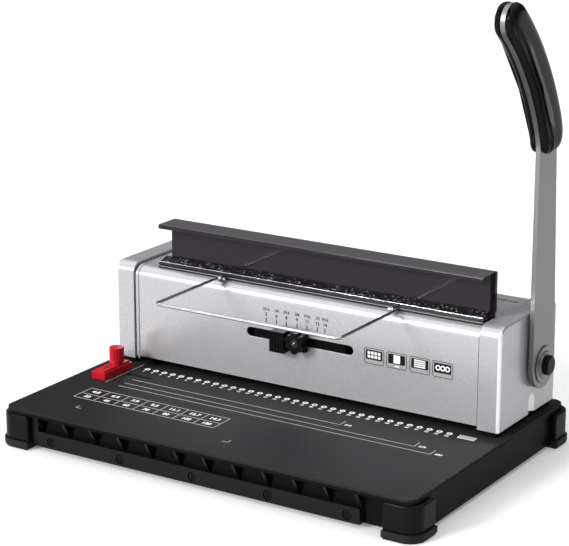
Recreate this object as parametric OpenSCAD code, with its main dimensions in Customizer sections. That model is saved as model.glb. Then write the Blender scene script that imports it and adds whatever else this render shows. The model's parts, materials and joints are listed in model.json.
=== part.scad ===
// Wire binding machine: a desk punch for 34 square holes with a wire closer on top.
// X runs left to right, Y front to back, Z up. The origin is on the table under the middle of the base.

/* [Base] */
// Reach of the base's side walls beyond the housing
base_side = 4.5; // [3:0.5:20]
// Depth of the base over its front and rear walls
base_d = 240; // [214:1:270]
// Height of the work surface above the table
table_h = 32; // [31:0.5:44]
// Corner radius of the base walls
corner_r = 7.5; // [6:0.5:14]
// Height of the walls' lower edge above the table
wall_z = 3.5; // [3:0.25:5]
// Thickness of the moulded walls
wall = 3; // [2:0.25:4]
// Thickness of the steel work plate
plate_t = 2; // [1:0.25:2.5]
// Thickness of the flange that carries the plate
flange_t = 2; // [1.5:0.25:3]
// Reach of the flange beyond the side and rear walls
lip = 1; // [0.5:0.25:2]
// Reach of the flange beyond the front wall
front_lip = 4; // [3:0.25:5]
// Step between the flange edge and the plate edge
plate_inset = 0.3; // [0.2:0.1:2]
// Thickness of the ribs under the plate
rib_t = 2; // [1.5:0.25:3]
// Thickness of the bottom sheet
bottom_t = 1.5; // [1:0.25:2.5]

/* [Corner boots] */
// Length of each leg of a boot
boot_leg = 27.8; // [20:0.2:34]
// Reach of a boot beyond the walls
boot_out = 4.8; // [2:0.2:6]
// Rounding of a leg's upper corner
boot_round = 3; // [1:0.5:5]
// Reach of a foot pad beyond its boot
pad_out = 1.5; // [0.5:0.25:2.5]
// Height of a foot pad
pad_h = 6.5; // [5:0.25:7.5]

/* [Front panel] */
// Number of gussets along the panel
gusset_count = 12; // [6:1:13]
// Distance from the left boot to the first gusset
panel_left = 7.9; // [6:0.1:12]
// Distance from the panel to the right boot
panel_right = 20.4; // [8:0.1:24]
// Thickness of a gusset
gusset_t = 2.2; // [1.6:0.1:4]
// Depth of the recess behind the gussets
recess_d = 5.4; // [4:0.2:7]
// Height of the lower band
band_h = 12; // [10:0.25:13]
// Wall thickness of the lower band
band_t = 2.5; // [1.5:0.25:3]
// Number of screws in the band
panel_screw_count = 5; // [3:1:6]
// Distance between band screws
panel_screw_pitch = 66.3; // [55:0.1:68]
// Radius of a band screw's head
panel_screw_r = 3.2; // [2.5:0.1:3.6]

/* [Housing] */
// Distance from the last pin to the housing's side
housing_side = 36.3; // [33:0.1:40]
// Depth of the housing over the end caps
housing_d = 95.5; // [93:0.5:100]
// Distance from the rear of the base to the housing
housing_back = 9; // [6:0.5:11]
// Height of the end caps' top above the work surface
housing_h = 85.5; // [84:0.5:95]
// Width of an end cap
cap_w = 18; // [16:0.5:20]
// Gap between an end cap and the plate
cap_gap = 4.5; // [3.5:0.25:6]
// Thickness of an end cap's walls
cap_t = 2.5; // [2:0.25:3]
// Radius of the front top edge
nose_r = 9; // [6:0.5:12]
// Radius of the rear top edge
tail_r = 6; // [4:0.5:9]
// Step from the end caps down to the cover's top
cover_drop = 2.4; // [1:0.1:3]
// Step from the end caps back to the cover's front
cover_step = 1.5; // [0.5:0.1:2]
// Thickness of the cover's sheet
sheet = 1.5; // [1:0.1:2]
// Height of the paper mouth under the cover
mouth_h = 6.5; // [5:0.25:8]
// Distance from the last pin to a side frame
frame_side = 10.3; // [10:0.1:11]
// Thickness of the side frames
frame_t = 4; // [3:0.25:5]
// Radius of a tie rod
tie_r = 4; // [3:0.25:5]

/* [Punch] */
// Number of punch pins
pin_count = 34; // [20:1:34]
// Distance between punch pins
pin_pitch = 8.467; // [8:0.001:8.467]
// Side of a square punch pin
pin_side = 4; // [3:0.1:4.5]
// Clearance of a pin in its guide, on each side
pin_gap = 0.08; // [0.05:0.01:0.12]
// Distance from the housing front to the pin row
pin_y = 20.5; // [20:0.25:22]
// Distance from the pin row to the paper stop
paper_edge = 4.5; // [4:0.25:6]
// Height of the paper slot
slot_h = 3; // [2.5:0.25:4]
// Thickness of the die bar
die_t = 7; // [5:0.5:8]
// Thickness of the pin guide
guide_t = 10; // [8:0.5:11]
// Depth of the die bar and of the pin guide
die_d = 24; // [22:0.5:26]
// Height of the punch bar
bar_h = 12; // [10:0.5:13]
// Radius of a guide post
post_r = 2.5; // [2:0.1:2.6]

/* [Drive] */
// Height of the cross shaft above the work surface
shaft_h = 42.5; // [41:0.5:46]
// Distance from the housing front to the cross shaft
shaft_back = 62.2; // [61:0.1:64]
// Radius of the cross shaft
shaft_r = 6; // [5:0.25:6.5]
// Running clearance of the shaft in its bushes
shaft_gap = 0.06; // [0.03:0.01:0.1]
// Teeth on a punch pinion
punch_teeth = 18; // [17:1:19]
// Module of the punch drive
punch_module = 1; // [1:0.01:1.05]
// Teeth on the full circle of a closer sector
closer_teeth = 26; // [25:1:27]
// Module of the closer drive
closer_module = 1.5; // [1.45:0.01:1.52]
// Thinning of each tooth flank, for backlash
flank_gap = 0.08; // [0.05:0.01:0.15]
// Width of the gears and racks
gear_w = 8; // [6:0.5:9]
// Full turn of the handle in degrees
handle_turn = 65; // [50:1:66]

/* [Closer] */
// Distance from the left end cap to the jaw
jaw_left = 21.5; // [12:0.5:30]
// Distance from the jaw to the right end cap
jaw_right = 1.2; // [0.8:0.1:6]
// Distance from the housing front to the upright
upright_y = 18.9; // [18.5:0.1:20]
// Thickness of the upright
upright_t = 9.8; // [8:0.1:10]
// Height of the open jaw over the pad
jaw_h = 28; // [26:0.5:32]
// Reach of the top flange in front of the upright
flange_reach = 12.8; // [10:0.1:13]
// Thickness of the top flange
jaw_flange_t = 3.5; // [2.5:0.1:5]
// Height of the platen that the wire lies on
platen_h = 5.5; // [4.5:0.1:7]
// Reach of the platen in front of the upright
platen_reach = 10.7; // [9:0.1:12]
// Thickness of the soft pad on the platen
pad_t = 1.2; // [0.8:0.1:2]

/* [Handle] */
// Thickness of the handle bar
bar_t = 4; // [3:0.25:5]
// Gap between the end cap and the handle bar
bar_gap = 2; // [1.5:0.1:3]
// Half width of the bar at the shaft
bar_foot = 18.7; // [16:0.1:20]
// Half width of the bar under the grip
bar_neck = 14; // [13:0.1:15]
// Set-back of the bar's edge from the grip's edge
bar_inset = 0.6; // [0.4:0.1:3]
// Height from the shaft to the bend
bar_straight = 170.5; // [150:0.5:200]
// Forward lean of the straight bar in degrees
bar_lean = 1.7; // [0:0.1:4]
// Radius of the lower bend
bend_r = 50; // [40:1:70]
// Turn of the lower bend in degrees
bend_turn = 22; // [16:0.5:28]
// Radius of the grip's curve
grip_r = 219; // [180:1:260]
// Turn of the grip's curve in degrees
grip_turn = 26.7; // [20:0.1:32]
// Half width of a grip scale
grip_half = 15.8; // [14:0.1:17]
// Thickness of a grip scale
grip_t = 7; // [5:0.25:9]
// Half width of a grip scale at the tip
tip_half = 14; // [12:0.1:15]
// Reach of a grip scale below the bend
grip_below = 4.6; // [2:0.1:12]
// Depth of the finger groove in a scale
groove_d = 0.9; // [0.3:0.1:1.5]

/* [Adjuster] */
// Length of the slot in the cover
slot_l = 98; // [84:1:104]
// Height of the slot in the cover
slot_w = 7.6; // [6:0.1:9]
// Height of the slot above the work surface
slot_z = 46.3; // [44:0.1:47]
// Width of the slider
slider_w = 13; // [11:0.5:16]
// Height of the slider
slider_h = 17; // [13:0.5:19]
// Reach of the slider in front of the cover
slider_out = 13; // [9:0.5:14]
// Radius of the clamp knob
clamp_r = 8.4; // [6.5:0.1:9]
// Number of steps on the depth gauge
gauge_steps = 7; // [4:1:9]
// Rise between two steps of the gauge
gauge_rise = 1.2; // [0.8:0.1:1.6]

/* [Wire rest] */
// Width of the wire rest between its arms
rest_w = 163; // [140:1:170]
// Radius of the wire's bends
rest_bend = 4; // [2.5:0.5:10]
// Offset of the wire rest from the middle
rest_x = 5.5; // [0:0.5:8]
// Length of the arms
rest_l = 84.5; // [60:0.5:88]
// Radius of the rod
rod_r = 1.25; // [1:0.05:1.6]

/* [Paper guide] */
// Width of the guide block
block_w = 13; // [11:0.5:14]
// Length of the guide block
block_l = 37; // [30:0.5:40]
// Distance from the first pin to the middle of the guide block
block_side = 17.8; // [16:0.1:20]
// Height of the guide block
block_h = 7.5; // [6:0.5:10]
// Radius of the guide knob
guide_knob_r = 6; // [5:0.25:6.5]
// Height of the guide knob
guide_knob_h = 13.5; // [10:0.5:18]
// Width of the slot in the plate
track_w = 4; // [3.5:0.25:5]

/* [Chip tray] */
// Width of the tray
tray_w = 46; // [36:1:46]
// Height of the tray
tray_h = 16; // [12:0.5:17]
// Wall thickness of the tray
tray_t = 1.5; // [1:0.25:2]

/* [Hidden] */
$fn = 48;
gap = 0.3;      // seat between pieces that are not pressed together
eps = 0.02;     // overlap of cuts
clear = 0.5;    // running clearance of plain slots

// Base heights and outlines
row_l = (pin_count - 1) * pin_pitch;
row_half = row_l / 2;
housing_w = row_l + 2 * housing_side;
half_w = housing_w / 2 + base_side;
half_d = base_d / 2;
plate_z = table_h - plate_t;
flange_z = plate_z - flange_t;
recess_y = -half_d + recess_d;
bottom_z = wall_z + bottom_t;
boot_x = half_w + boot_out - boot_leg;

// Front panel, lined up with the middle of its screws
panel_x0 = -boot_x + gap;
panel_x1 = boot_x - panel_right;
gusset_x0 = -boot_x + panel_left;
gusset_pitch = (panel_x1 - gusset_t / 2 - gusset_x0) / (gusset_count - 1);
panel_z0 = wall_z;
panel_z1 = flange_z - gap;
ledge_z = panel_z0 + band_h;
shelf_z = ledge_z - band_t;
gusset_y = -half_d - front_lip + 0.8;
panel_screw_z = panel_z0 + band_h * 0.46;
panel_screw_x0 = -6 - (panel_screw_count - 1) * panel_screw_pitch / 2;

// Housing
cap_x = housing_w / 2;
cap_in = cap_x - cap_w;
cover_x = cap_in - 0.8;
housing_y1 = half_d - housing_back;
housing_y = housing_y1 - housing_d;
housing_z = table_h + housing_h;
cap_z = table_h + cap_gap;
cover_y = housing_y + cover_step;
cover_y1 = housing_y1 - 1;
cover_z = housing_z - cover_drop;
frame_x = row_half + frame_side;
frame_x1 = frame_x + frame_t;
frame_y0 = cover_y + sheet + 2.5;
frame_y1 = cover_y1 - sheet - 2.5;
foot_l = 16;

// Punch
row_y = housing_y + pin_y;
die_y0 = row_y - die_d / 2;
die_y1 = row_y + die_d / 2;
die_x = frame_x - gap;
stop_y = row_y + paper_edge;
guide_z = table_h + slot_h;
guide_z1 = guide_z + guide_t;
punch_stroke = punch_module * punch_teeth / 2 * handle_turn * PI / 180;
spring_l = punch_stroke + 4.5;
bar_z = guide_z1 + spring_l;
bar_z1 = bar_z + bar_h;
bar_d = 10;
guide_y1 = row_y + 7.5;

// Drive
shaft_z = table_h + shaft_h;
shaft_y = housing_y + shaft_back;
bush_r = shaft_r + 3;
closer_r = closer_module * closer_teeth / 2;
punch_r = punch_module * punch_teeth / 2;
closer_stroke = closer_r * handle_turn * PI / 180;
closer_gear_x = frame_x - 4 - gear_w;
punch_gear_x = closer_gear_x - 10 - gear_w;
post_x = frame_x - post_r - 1.8;

// Closer
jaw_y = housing_y + upright_y;
jaw_y1 = jaw_y + upright_t;
platen_z = cover_z + platen_h;
jaw_under = platen_z + jaw_h;
jaw_top = jaw_under + jaw_flange_t;
closer_x0 = jaw_left - cap_in;
closer_x1 = cap_in - jaw_right;
upright_x0 = closer_x0 + 4;
platen_x0 = closer_x0 - 2;
upright_z = bar_z1 - punch_stroke + closer_stroke + 15;

// Handle: the centre line is a straight stretch, a tight bend and a long curve
bar_x = cap_x + bar_gap;
bar_x1 = bar_x + bar_t;
a0 = bar_lean;
a1 = a0 + bend_turn;
a2 = a1 + grip_turn;
p0 = [shaft_y, shaft_z];
p1 = p0 + bar_straight * [-sin(a0), cos(a0)];
p2 = p1 + turn_step(bend_r, a0, a1);

// Adjuster
slider_x0 = -18.5;
slider_z = table_h + slot_z;
clamp_x = slider_x0 + slider_w + clamp_r + gap;
clamp_z = slider_z + 1;
gauge_z = bar_z + 3;

// Wire rest
rest_y = cover_y + 1;
rest_z = cover_z + 2.1;

// Paper guide
block_x = -row_half - block_side;
block_y1 = housing_y - 13.5;
track_y = block_y1 - 12;
track_x0 = block_x - 12;
track_x1 = block_x + 34;
stud_r = track_w / 2 - 0.3;

// Chip tray
tray_y0 = row_y - tray_w / 2;
tray_z = bottom_z + gap;
tray_x1 = die_x;

// A point's move along an arc that turns the way of travel from one angle to another
function turn_step(r, from, to) = r * [cos(to) - cos(from), sin(to) - sin(from)];

// Points of an arc in the plane
function arc(cx, cy, r, from, to, n = 10) =
  [for (i = [0:n]) let (a = from + (to - from) * i / n) [cx + r * cos(a), cy + r * sin(a)]];

// Centre line of the grip: l is the way along it in millimetres from the start of the bend
bend_len = bend_r * bend_turn * PI / 180;
grip_len = bend_len + grip_r * grip_turn * PI / 180;
function grip_angle(l) = l < 0 ? a0 :
  l < bend_len ? a0 + l / bend_r * 180 / PI : a1 + (l - bend_len) / grip_r * 180 / PI;
function grip_point(l) = let (a = grip_angle(l))
  l < 0 ? p1 + l * [-sin(a0), cos(a0)] :
  l < bend_len ? p1 + turn_step(bend_r, a0, a) : p2 + turn_step(grip_r, a1, a);
function grip_side(l, h) = grip_point(l) + h * [cos(grip_angle(l)), sin(grip_angle(l))];

// Draws a profile of Y and Z between two places along X
module along_x(x0, x1) {
  translate([x0, 0, 0]) rotate([90, 0, 90]) linear_extrude(x1 - x0) children();
}

// A box from its lowest to its highest corner
module box(low, high) {
  translate(low) cube(high - low);
}

// A round bar along each axis
module rod_x(x0, x1, y, z, r) {
  translate([x0, y, z]) rotate([0, 90, 0]) cylinder(h = x1 - x0, r = r);
}
module rod_y(x, y0, y1, z, r) {
  translate([x, y0, z]) rotate([-90, 0, 0]) cylinder(h = y1 - y0, r = r);
}
module rod_z(x, y, z0, z1, r) {
  translate([x, y, z0]) cylinder(h = z1 - z0, r = r);
}

// Each child again on the other side of the middle plane
module both_sides() {
  children();
  mirror([1, 0, 0]) children();
}

// A rectangle with round corners
module round_rect(x0, x1, y0, y1, r) {
  translate([x0 + r, y0]) square([x1 - x0 - 2 * r, y1 - y0]);
  translate([x0, y0 + r]) square([x1 - x0, y1 - y0 - 2 * r]);
  for (x = [x0 + r, x1 - r], y = [y0 + r, y1 - r])
    translate([x, y]) circle(r = r);
}

// Outline of the base walls, grown by a distance
module wall_outline(out = 0) {
  round_rect(-half_w - out, half_w + out, -half_d - out, half_d + out, corner_r + out);
}

// Outline of the flange under the plate, shrunk by a distance
module flange_outline(inset = 0) {
  round_rect(-half_w - lip + inset, half_w + lip - inset, -half_d - front_lip + inset,
    half_d + lip - inset, corner_r + lip - inset);
}

// Side view of the housing: straight front and back, a round nose and a smaller round tail
module housing_profile(y0, y1, z0, z1, inset = 0) {
  polygon(concat(
    [[y1 - inset, z0], [y0 + inset, z0]],
    arc(y0 + nose_r, z1 - nose_r, nose_r - inset, 180, 90),
    arc(y1 - tail_r, z1 - tail_r, tail_r - inset, 90, 0)));
}

// Where the bottom sheet is screwed to the frame
rib_y = half_d - 20;
rib_x = half_w * 0.39;
rear_rib_x = half_w * 0.61;
boss_x = boot_x - 7;
boss_places = [for (x = [-boss_x, 0, boss_x], y = [-rib_y, rib_y]) [x, y]];

module base_frame() {
  color([0.06, 0.06, 0.065]) difference() {
    union() {
      translate([0, 0, wall_z]) linear_extrude(flange_z - wall_z) difference() {
        wall_outline();
        round_rect(-half_w + wall, half_w - wall, recess_y + wall, half_d - wall, corner_r - wall);
      }
      translate([0, 0, flange_z]) linear_extrude(flange_t) difference() {
        flange_outline();
        round_rect(-half_w + 6.5, half_w - 6.5, recess_y + wall, half_d - 8, 4);
      }
      for (y = [-rib_y, rib_y])
        box([-half_w + 1, y - rib_t / 2, flange_z - 10], [half_w - 1, y + rib_t / 2, plate_z]);
      for (k = [-1:2]) let (x = k * rib_x)
        box([x - rib_t / 2, recess_y + 1, flange_z - 5], [x + rib_t / 2, tray_y0 - 6, plate_z]);
      for (x = [-rear_rib_x, rear_rib_x])
        box([x - rib_t / 2, tray_y0 + tray_w + 6, flange_z - 5], [x + rib_t / 2, half_d - 1, plate_z]);
      for (p = boss_places) rod_z(p[0], p[1], bottom_z, plate_z - 1, 4);
    }
    box([-boot_x, -half_d - 1, wall_z - 1], [boot_x, recess_y, flange_z]);
    box([-half_w - 1, tray_y0 - 0.8, tray_z - gap],
      [-half_w + wall + 1, tray_y0 + tray_w + 0.8, tray_z + tray_h + 0.8]);
    for (p = boss_places) rod_z(p[0], p[1], bottom_z - 1, bottom_z + 12, 1.6);
    for (i = [0:panel_screw_count - 1])
      rod_y(panel_screw_x0 + i * panel_screw_pitch, recess_y - 1, recess_y + wall + 1, panel_screw_z, 1.6);
  }
}

module top_plate() {
  color([0.2, 0.2, 0.21]) difference() {
    translate([0, 0, plate_z]) linear_extrude(plate_t) flange_outline(plate_inset);
    box([-die_x - gap, die_y0 - gap, plate_z - 1], [die_x + gap, die_y1 + gap, table_h + 1]);
    box([track_x0, track_y - track_w / 2, plate_z - 1], [track_x1, track_y + track_w / 2, table_h + 1]);
    for (x = [track_x0, track_x1]) rod_z(x, track_y, plate_z - 1, table_h + 1, track_w / 2);
    for (p = foot_places()) both_sides() rod_z(p[0], p[1], plate_z - 1, table_h + 1, 2.1);
    both_sides() rod_z(cap_boss_x, cap_boss_y, plate_z - 1, table_h + 1, 1.7);
  }
}

module bottom_plate() {
  color([0.12, 0.12, 0.12]) difference() {
    translate([0, 0, wall_z]) linear_extrude(bottom_t)
      round_rect(-half_w + wall + gap, half_w - wall - gap, recess_y + wall + gap,
        half_d - wall - gap, corner_r - wall - gap);
    for (p = boss_places) rod_z(p[0], p[1], wall_z - 1, bottom_z + 1, 1.8);
  }
}

module bottom_screws() {
  color([0.35, 0.35, 0.36]) for (p = boss_places) {
    rod_z(p[0], p[1], wall_z - 1.8, wall_z, 3.2);
    rod_z(p[0], p[1], wall_z - eps, bottom_z + 10, 1.5);
  }
}

// Side view of a gusset: full depth under the flange, down to nothing at the shelf
module gusset_profile() {
  polygon([[recess_y, shelf_z], [recess_y, panel_z1], [gusset_y, panel_z1],
    [gusset_y, panel_z1 - 1], [recess_y - 0.4, shelf_z]]);
}

module front_panel() {
  color([0.07, 0.07, 0.075]) difference() {
    union() {
      box([panel_x0, -half_d, panel_z0], [gusset_x0 - gusset_t / 2, recess_y, panel_z1]);
      for (i = [0:gusset_count - 1])
        along_x(gusset_x0 + i * gusset_pitch - gusset_t / 2, gusset_x0 + i * gusset_pitch + gusset_t / 2)
          gusset_profile();
      box([panel_x0, -half_d, panel_z0], [panel_x1, -half_d + band_t, ledge_z]);
      box([panel_x0, -half_d, shelf_z - band_t], [panel_x1, recess_y, shelf_z]);
      box([panel_x1 - band_t, -half_d, panel_z0], [panel_x1, recess_y, ledge_z]);
      for (i = [0:panel_screw_count - 1])
        rod_y(panel_screw_x0 + i * panel_screw_pitch, -half_d + 1, recess_y, panel_screw_z, panel_screw_r + 1.6);
    }
    for (i = [0:panel_screw_count - 1]) {
      rod_y(panel_screw_x0 + i * panel_screw_pitch, -half_d - 1, recess_y + 1, panel_screw_z, 1.7);
      rod_y(panel_screw_x0 + i * panel_screw_pitch, -half_d - 1, -half_d + 2.2, panel_screw_z,
        panel_screw_r + 0.6);
    }
  }
}

module panel_screws() {
  color([0.1, 0.1, 0.1]) for (i = [0:panel_screw_count - 1])
    translate([panel_screw_x0 + i * panel_screw_pitch, 0, panel_screw_z]) difference() {
      union() {
        rod_y(0, -half_d + 0.4, -half_d + 2.2, 0, panel_screw_r);
        rod_y(0, -half_d + 2.2 - eps, recess_y + wall + 3, 0, 1.5);
      }
      for (a = [0, 90]) translate([0, -half_d + 0.4, 0]) rotate([0, a, 0])
        cube([panel_screw_r * 1.2, 1.6, 0.8], center = true);
    }
}

// The corner of a grown wall outline, as far as the given leg
module corner_piece(out, leg) {
  intersection() {
    wall_outline(out);
    translate([half_w + out - leg, half_d + out - leg]) square(leg);
  }
}

// Each child in all four corners
module each_corner() {
  for (mx = [0, 1], my = [0, 1]) mirror([mx, 0, 0]) mirror([0, my, 0]) children();
}

// What a rounded upper corner takes off the end of a leg
module leg_corner() {
  difference() {
    translate([-1, -boot_round]) square(boot_round + 1);
    translate([boot_round, -boot_round]) circle(r = boot_round);
  }
}

module corner_boots() {
  boot_top = flange_z - clear;
  leg_end = half_w + boot_out - boot_leg;
  leg_end_y = half_d + boot_out - boot_leg;
  color([0.05, 0.05, 0.055]) each_corner() difference() {
    translate([0, 0, pad_h]) linear_extrude(boot_top - pad_h) difference() {
      corner_piece(boot_out, boot_leg);
      wall_outline();
    }
    translate([leg_end, half_d + boot_leg, boot_top]) rotate([90, 0, 0])
      linear_extrude(2 * boot_leg) leg_corner();
    translate([half_w - boot_leg, leg_end_y, boot_top]) rotate([90, 0, 90])
      linear_extrude(2 * boot_leg) leg_corner();
  }
}

// A pad is a slab under the wall's corner with a rim round the outside
module foot_pads() {
  step = 1.5;
  color([0.04, 0.04, 0.04]) each_corner() {
    difference() {
      translate([0, 0, step]) linear_extrude(pad_h - step)
        corner_piece(boot_out + pad_out, boot_leg + pad_out);
      translate([0, 0, wall_z]) linear_extrude(pad_h) wall_outline();
    }
    linear_extrude(step + eps) corner_piece(boot_out + pad_out - 1, boot_leg + pad_out - 2);
  }
}

module tray_rails() {
  color([0.55, 0.55, 0.57]) for (y = [tray_y0 - gap - 2, tray_y0 + tray_w + gap]) {
    box([-half_w + wall + 3, y, bottom_z], [tray_x1, y + 2, bottom_z + 9]);
    box([-half_w + wall + 3, y < row_y ? y - 5 : y, bottom_z],
      [tray_x1, y < row_y ? y + 2 : y + 7, bottom_z + 1.5]);
  }
}

module chip_tray() {
  color([0.1, 0.1, 0.11]) difference() {
    box([-half_w, tray_y0, tray_z], [tray_x1, tray_y0 + tray_w, tray_z + tray_h]);
    box([-half_w + wall, tray_y0 + tray_t, tray_z + tray_t],
      [tray_x1 - tray_t, tray_y0 + tray_w - tray_t, tray_z + tray_h + 1]);
    translate([-half_w - 1, row_y, tray_z + tray_h + 4]) rotate([0, 90, 0]) cylinder(h = wall + 2, r = 9);
  }
}

// The groove pressed into the rear of the cover's top
groove_y = housing_y + 63.5;
groove_w = 16;
groove_x = cover_x - 5;
groove_deep = 2;

module housing_cover() {
  color([0.75, 0.75, 0.76]) difference() {
    union() {
      along_x(-cover_x, cover_x) difference() {
        housing_profile(cover_y, cover_y1, table_h + gap, cover_z);
        housing_profile(cover_y, cover_y1, table_h, cover_z, sheet);
      }
      box([-groove_x - sheet, groove_y - sheet, cover_z - groove_deep - sheet],
        [groove_x + sheet, groove_y + groove_w + sheet, cover_z - eps]);
    }
    box([-groove_x, groove_y, cover_z - groove_deep], [groove_x, groove_y + groove_w, cover_z + 1]);
    box([-cover_x - 1, cover_y - 1, table_h], [cover_x + 1, cover_y + sheet + 1, table_h + mouth_h]);
    box([upright_x0 - clear, jaw_y - clear, cover_z - 3], [cover_x + 1, jaw_y1 + clear, cover_z + 1]);
    for (x = [-slot_l / 2 + slot_w / 2, slot_l / 2 - slot_w / 2])
      rod_y(x + 1, cover_y - 1, cover_y + sheet + 1, slider_z, slot_w / 2);
    box([1 - slot_l / 2 + slot_w / 2, cover_y - 1, slider_z - slot_w / 2],
      [1 + slot_l / 2 - slot_w / 2, cover_y + sheet + 1, slider_z + slot_w / 2]);
  }
}

// A screw through the plate holds each end cap by a boss
cap_boss_x = cap_in + cap_w / 2;
cap_boss_y = housing_y + 55.5;
arch_r = 5;
arch_h = 11;      // height of the recess's round top over the cap's foot
arch_out = 2;     // the recess is part of a rod whose middle lies this far outside the cap

module end_cap(shaft_hole) {
  color([0.72, 0.72, 0.73]) difference() {
    union() {
      along_x(cap_in, cap_x) difference() {
        housing_profile(housing_y, housing_y1, cap_z, housing_z);
        housing_profile(housing_y, housing_y1, cap_z - 1, housing_z, cap_t);
      }
      along_x(cap_x - cap_t, cap_x) housing_profile(housing_y, housing_y1, cap_z, housing_z);
      for (p = [[frame_y0 + 6, cap_z + 8], [frame_y1 - 26, cap_z + 8], [frame_y1 - 26, frame_top - 6]])
        rod_x(frame_x1, cap_x - 1, p[0], p[1], 4);
      rod_z(cap_boss_x, cap_boss_y, cap_z, cap_z + 16, 4.5);
      box([cap_boss_x, cap_boss_y - 1.5, cap_z], [cap_x - 1, cap_boss_y + 1.5, cap_z + 16]);
      along_x(cap_x - cap_t - 2.5, cap_x - 1) arch(arch_r + 1.5);
    }
    translate([cap_x + arch_out, cap_boss_y, cap_z]) screw_scoop(sqrt(arch_r * arch_r + arch_out * arch_out));
    rod_z(cap_boss_x, cap_boss_y, cap_z - 1, cap_z + 12, 1.4);
    if (shaft_hole) rod_x(cap_x - cap_t - 1, cap_x + 1, shaft_y, shaft_z, shaft_r + 0.8);
  }
}

// Side view of the wall behind the recess at the foot of an end cap
module arch(r) {
  translate([cap_boss_y, cap_z + arch_h]) union() {
    circle(r = r);
    translate([-r, -arch_h]) square([2 * r, arch_h]);
  }
}

// The recess itself: a round groove with a round top
module screw_scoop(r) {
  translate([0, 0, -1]) cylinder(h = arch_h + 1, r = r);
  translate([0, 0, arch_h]) sphere(r = r);
}

module end_cap_right() {
  end_cap(true);
}

module end_cap_left() {
  mirror([1, 0, 0]) end_cap(false);
}

module housing_plinth() {
  plinth_x = cap_x - 3;
  plinth_y0 = housing_y + 3;
  plinth_y1 = housing_y1 - 3;
  color([0.05, 0.05, 0.05]) difference() {
    box([-plinth_x, plinth_y0, table_h], [plinth_x, plinth_y1, cap_z]);
    box([-cap_in - 2, plinth_y0 - 1, table_h - 1], [cap_in + 2, cover_y1 - sheet - 1, cap_z + 1]);
    box([-cover_x - 1, cover_y1 - sheet - 2, table_h - 1], [cover_x + 1, cover_y1 + 1, cap_z + 1]);
    both_sides() rod_z(cap_boss_x, cap_boss_y, table_h - 1, cap_z + 1, 1.8);
  }
}

module cap_screws() {
  color([0.5, 0.5, 0.52]) both_sides() {
    rod_z(cap_boss_x, cap_boss_y, plate_z - 1.8, plate_z, 3);
    rod_z(cap_boss_x, cap_boss_y, plate_z - eps, cap_z + 11, 1.3);
  }
}

// The side frames carry the shaft, the racks' guides and the punch
frame_room = 11;  // room for the racks and the shut closer over the frames
frame_top = cover_z - sheet - frame_room;
front_top = upright_z - closer_stroke - 2.5;
back_front = jaw_y1 + 2.5;

function foot_places() = [for (y = [shaft_y + 4, frame_y1 - 14]) [frame_x - foot_l / 2, y]];

module side_frames() {
  color([0.5, 0.51, 0.53]) both_sides() difference() {
    union() {
      along_x(frame_x, frame_x1) polygon([[row_y + 4, table_h], [frame_y1, table_h], [frame_y1, frame_top],
        [back_front, frame_top], [back_front, front_top], [jaw_y, front_top], [frame_y0, guide_z1 + 3]]);
      box([frame_x - foot_l, shaft_y - 4, table_h], [frame_x + 1, frame_y1, table_h + 3]);
    }
    rod_x(frame_x - 1, frame_x1 + 1, shaft_y, shaft_z, bush_r);
    for (p = tie_places) rod_x(frame_x - 1, frame_x1 + 1, p[0], p[1], tie_r - 1);
    for (p = foot_places()) rod_z(p[0], p[1], table_h - 1, table_h + 4, 2.1);
  }
}

module frame_screws() {
  color([0.5, 0.5, 0.52]) both_sides() for (p = foot_places()) {
    rod_z(p[0], p[1], plate_z - 2.5, plate_z, 3.8);
    rod_z(p[0], p[1], plate_z - eps, table_h + 5.5, 2);
    rod_z(p[0], p[1], table_h + 3, table_h + 5.5, 3.8);
  }
}

// Tie rods between the side frames, shouldered at each end
tie_in = 2 * tie_r;
tie_up = 14;
tie_places = [[frame_y1 - tie_in, table_h + tie_up], [frame_y1 - tie_in, frame_top - tie_up]];

module tie_rods() {
  color([0.6, 0.6, 0.62]) for (p = tie_places) {
    rod_x(-frame_x, frame_x, p[0], p[1], tie_r);
    rod_x(-frame_x1 - 2.4, frame_x1 + 2.4, p[0], p[1], tie_r - 1.05);
  }
}

module tie_rod_nuts() {
  color([0.5, 0.5, 0.52]) both_sides() for (p = tie_places)
    translate([frame_x1, p[0], p[1]]) rotate([0, 90, 0]) difference() {
      cylinder(h = 2.4, r = tie_r + 1.5, $fn = 6);
      translate([0, 0, -1]) cylinder(h = 5, r = tie_r - 1);
    }
}

// Square holes for the pins, one after another
module pin_row(side, z0, z1) {
  for (i = [0:pin_count - 1])
    box([-row_half + i * pin_pitch - side / 2, row_y - side / 2, z0],
      [-row_half + i * pin_pitch + side / 2, row_y + side / 2, z1]);
}

module die_bar() {
  color([0.55, 0.56, 0.58]) difference() {
    union() {
      box([-die_x, die_y0, table_h - die_t], [die_x, die_y1, table_h]);
      box([-die_x, die_y0 - 4, table_h - die_t], [die_x, die_y1 + 4, plate_z]);
    }
    pin_row(pin_side + 2 * pin_gap, table_h - die_t - 1, table_h + 1);
  }
}

module paper_stop() {
  color([0.6, 0.61, 0.63]) box([-die_x, stop_y, table_h], [die_x, die_y1, guide_z]);
}

module pin_guide() {
  color([0.52, 0.53, 0.55]) difference() {
    box([-die_x, die_y0, guide_z], [die_x, guide_y1, guide_z1]);
    pin_row(pin_side + 2 * pin_gap, guide_z - 1, guide_z1 + 1);
    translate([0, die_y0, guide_z]) rotate([45, 0, 0]) cube([2 * die_x + 2, 3, 3], center = true);
    both_sides() rod_z(post_x, row_y, guide_z + 3, guide_z1 + 1, post_r);
  }
}

module guide_posts() {
  color([0.7, 0.7, 0.72]) both_sides()
    rod_z(post_x, row_y, guide_z + 3, bar_z1 + 2, post_r);
}

module punch_pins() {
  color([0.65, 0.66, 0.68]) pin_row(pin_side, guide_z + 0.5, bar_z1 - 4);
}

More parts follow.
